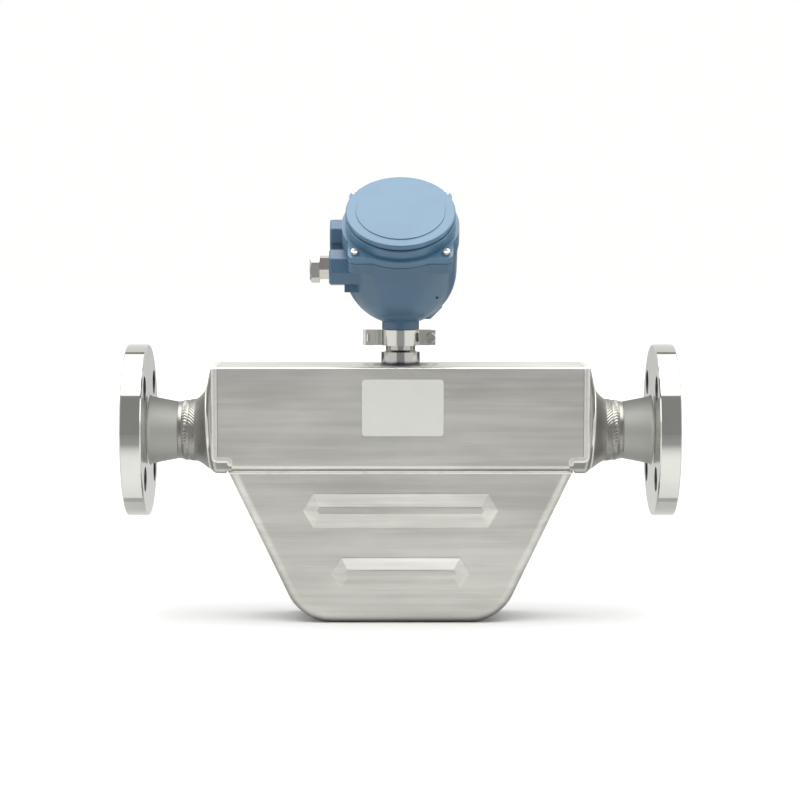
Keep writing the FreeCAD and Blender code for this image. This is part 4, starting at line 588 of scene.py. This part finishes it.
def weldRing(name, start, end, replaced):
    # start is the end at the hub and end the one at the manifold, over which the ring laps a little
    s = buttWeld
    way = 1 if end > start else -1
    angle = np.linspace(0, tau, s["around"], endpoint=False)[:, None]
    across = np.linspace(0, 1, s["across"])[None, :]
    x = start + (end + way * s["over"] - start) * across + 0 * angle
    base = np.interp(x * way, [start * way, end * way, end * way + s["over"]],
                     [s["hub"], s["pipe"], s["flare"]])
    first = np.clip((across - s["smooth"]) / (s["first"] - s["smooth"]), 0, 1)
    second = np.clip((across - s["first"]) / (1 - s["first"]), 0, 1)
    inFirst = across < s["first"]
    crown = s["crown"] * (np.sqrt(1 - (2 * first - 1) ** 2) * inFirst
                          + np.sqrt(1 - (2 * second - 1) ** 2) * ~inFirst)
    smoothPart = np.sin(math.pi * np.clip(across / s["smooth"], 0, 1))
    crown = crown + s["smoothCrown"] * s["crown"] * smoothPart
    lag = np.where(inFirst, s["nose"] * (2 * first - 1) ** 2,
                   s["secondLag"] + s["lean"] * second ** s["leanPower"])
    count = round(tau * s["hub"] / s["pitch"])
    uneven = sum(size * np.sin(angle * times + start) for size, times, start in s["uneven"])
    wave = ripples(angle / tau * count + uneven - lag)
    inPass = np.where(inFirst, 1 - (2 * first - 1) ** 4, 1 - (2 * second - 1) ** 6)
    radius = base + crown + s["ripple"] * (wave - 0.5) * inPass
    radius[:, 0], radius[:, -1] = s["hub"], s["flare"] - s["toe"]
    outer = np.stack([x, radius * np.cos(angle), radius * np.sin(angle)], axis=-1)
    inner = [np.stack([place + 0 * angle, r * np.cos(angle), r * np.sin(angle)], axis=-1)
             for place, r in ((end, s["pipe"] - s["toe"]), (end, s["bore"]), (start, s["bore"]))]
    points = np.concatenate([outer] + inner, axis=1)
    if way < 0:
        points = points[::-1]
    return gridPiece(name, points[::-1], "weld", "meter_body", True, True, (replaced,))


for side, node in (("inlet", "inlet_weld"), ("outlet", "outlet_weld")):
    low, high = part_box(node)
    start, end = (low.x, high.x) if side == "inlet" else (high.x, low.x)
    weldRing(side + "WeldBead", start, end, node)
print("butt welds made")


# the gland nut as it was tightened: a flat faces the front, where the model has a corner

nutTurn = {"node": "gland_nut", "angle": math.radians(30), "mergeWithin": 0.001 * mm}

nutLow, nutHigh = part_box(nutTurn["node"])
nutMiddle = (nutLow + nutHigh) / 2
turned = (Matrix.Translation(nutMiddle) @ Matrix.Rotation(nutTurn["angle"], 4, "X")
          @ Matrix.Translation(-nutMiddle))
work = bmesh.new()
work.from_mesh(nodes[nutTurn["node"]].data)
bmesh.ops.remove_doubles(work, verts=work.verts, dist=nutTurn["mergeWithin"])
bmesh.ops.transform(work, matrix=turned, verts=work.verts)
for face in work.faces:
    face.smooth = False
nutMesh = bpy.data.meshes.new("glandNutTightened")
work.to_mesh(nutMesh)
work.free()
nutMesh.materials.clear()
nutMesh.materials.append(finishes["gland"])
nut = bpy.data.objects.new("glandNutTightened", nutMesh)
bpy.context.scene.collection.objects.link(nut)
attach(nut, "head")
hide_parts(nutTurn["node"])
print("gland nut turned")


# studio: pale floor, soft light and the camera of the photograph

studio = {"distance": 2.150, "height": 0.205, "shift": -0.5 * mm, "tilt": 4.73, "lens": 107.1,
          "sensor": 36.0, "clip": (0.1, 50.0), "floorSize": 14.0}
topLamp = {"place": (midX, -0.25, 1.5), "size": 1.6, "power": 18.0}
# levels of the room that the metal mirrors: the dark side where the camera stands, the softbox over
# the object with its seam, and the walls. Edges are shares of a direction's X or angles round X.
room = {"front": 0.34, "frontSide": (0.36, 0.42), "edge": (0.885, 0.910), "softbox": 1.90,
        "boxEnd": (2.21, 2.23), "seam": (2.23, 2.33), "seamEdge": 0.01, "seamLevel": 0.30,
        "walls": 0.95, "tint": (1.0, 1.0, 0.995, 1.0)}
# the floor as the camera sees it, from near to far over an oval: darker near the object, a painted shade
# round it
floorTone = {"near": 0.72, "far": 0.95, "fade": (0.30, 1.5), "oval": 3.24, "rough": 0.75}
# the floor as the metal mirrors it: bright close in front, a dark sector beyond it, a painted shadow
# with a darker line beneath the object, and two dark flags behind it, one each side of the backdrop
mirror = {"near": 0.69, "front": 0.225, "side": 0.66, "under": 0.50, "back": 0.46, "line": 0.36,
          "flag": 0.03, "frontHalf": 0.22, "frontSide": (0.30, 0.36), "frontFade": (0.0, 0.2),
          "backFade": (0.1, 0.3), "underEdge": (-0.042, -0.034), "lineStart": (-0.040, -0.032),
          "lineEnd": (-0.022, -0.010), "distance": (0.25, 0.80), "flagInner": (0.30, 0.38),
          "flagOuter": (0.86, 0.92), "flagFade": (0.6, 0.8)}


def toward(level, target, share):
    return level + (target - level) * share


floorZ = cadBox[0].z
half = studio["floorSize"] / 2
floorMesh = bpy.data.meshes.new("floor")
floorMesh.from_pydata([(midX - half, -half, floorZ), (midX + half, -half, floorZ),
                       (midX + half, half, floorZ), (midX - half, half, floorZ)], [], [(0, 1, 2, 3)])
ground = newMaterial("paleFloor", Roughness=floorTone["rough"])
groundX, groundY, groundZ = ground.axes(ground.place())
groundX = groundX - midX
aside = ground.maths("ABSOLUTE", groundX)
reach = ground.maths("SQRT", groundX * groundX + groundY * groundY)
away = ground.maths("SQRT", groundX * groundX / floorTone["oval"] + groundY * groundY)
# painted shade: the floor the camera sees is darker near the object
seen = toward(floorTone["near"], floorTone["far"], ground.smooth(away, *floorTone["fade"]))
beside = ground.maths("MAXIMUM", aside - mirror["frontHalf"], 0.0)
ahead = 1.0 - ground.smooth(beside / reach, *mirror["frontSide"])
ahead = ahead * ground.smooth(groundY * -1.0, *mirror["frontFade"])
distant = toward(mirror["side"], mirror["front"], ahead)
distant = toward(distant, mirror["back"], ground.smooth(groundY, *mirror["backFade"]))
# painted shadow beneath the object, with a darker line, on the floor as the metal mirrors it
close = toward(mirror["near"], mirror["under"], ground.smooth(groundY, *mirror["underEdge"]))
line = ground.smooth(groundY, *mirror["lineStart"]) * (1.0 - ground.smooth(groundY, *mirror["lineEnd"]))
close = toward(close, mirror["line"], line)
mirrored = toward(close, distant, ground.smooth(away, *mirror["distance"]))
flagged = ground.smooth(aside / reach, *mirror["flagInner"])
flagged = flagged * (1.0 - ground.smooth(aside / reach, *mirror["flagOuter"]))
flagged = flagged * ground.smooth(groundY, *mirror["flagFade"])
mirrored = toward(mirrored, mirror["flag"], flagged)
floorLevel = toward(mirrored, seen, ground.node("ShaderNodeLightPath", out=0))
cloud = ground.noise(ground.mapped((2.0, 2.0, 2.0)), 1.0, 2.0, 0.5)
floorMesh.materials.append(feed(ground, Base_Color=ground.node(
    "ShaderNodeCombineColor", Red=floorLevel, Green=floorLevel,
    Blue=floorLevel * (0.99 + cloud * 0.01))))
floor = bpy.data.objects.new("floor", floorMesh)
bpy.context.scene.collection.objects.link(floor)

world = bpy.data.worlds.new("softStudio")
bpy.context.scene.world = world
world.use_nodes = True
sky = Shade(world.node_tree)
skyX, skyY, skyZ = sky.axes(sky.node("ShaderNodeTexCoord", out=0))
rise = sky.maths("ARCTAN2", skyZ, skyY * -1.0)
overEdge = sky.smooth(rise, *room["edge"])
inFront = (1.0 - sky.smooth(sky.maths("ABSOLUTE", skyX), *room["frontSide"])) * (1.0 - overEdge)
overhead = overEdge * (1.0 - sky.smooth(rise, *room["boxEnd"]))
seamLow, seamHigh = room["seam"]
atSeam = sky.smooth(rise, seamLow, seamLow + room["seamEdge"])
atSeam = atSeam * (1.0 - sky.smooth(rise, seamHigh - room["seamEdge"], seamHigh))
level = toward(room["walls"], room["softbox"], overhead)
level = toward(level, room["front"], inFront)
level = toward(level, room["seamLevel"], atSeam)
level = toward(level, 1.0, sky.node("ShaderNodeLightPath", out=0))
sky.node("ShaderNodeOutputWorld", Surface=sky.node(
    "ShaderNodeBackground", Color=room["tint"], Strength=level))

lamp = bpy.data.lights.new("topSoftbox", "AREA")
lamp.shape, lamp.size, lamp.energy = "SQUARE", topLamp["size"], topLamp["power"]
softbox = bpy.data.objects.new("topSoftbox", lamp)
softbox.location = topLamp["place"]
softbox.rotation_mode = "QUATERNION"
aim = Vector((midX, 0, 0)) - Vector(topLamp["place"])
softbox.rotation_quaternion = aim.to_track_quat("-Z", "Y")
bpy.context.scene.collection.objects.link(softbox)

lens = bpy.data.cameras.new("photoCamera")
lens.lens, lens.sensor_width = studio["lens"], studio["sensor"]
lens.clip_start, lens.clip_end = studio["clip"]
camera = bpy.data.objects.new("photoCamera", lens)
camera.location = (midX + studio["shift"], -studio["distance"], studio["height"])
camera.rotation_euler = (math.radians(90 - studio["tilt"]), 0, 0)
bpy.context.scene.collection.objects.link(camera)
bpy.context.scene.camera = camera
bpy.context.scene.view_settings.view_transform = "Standard"
print("studio ready")
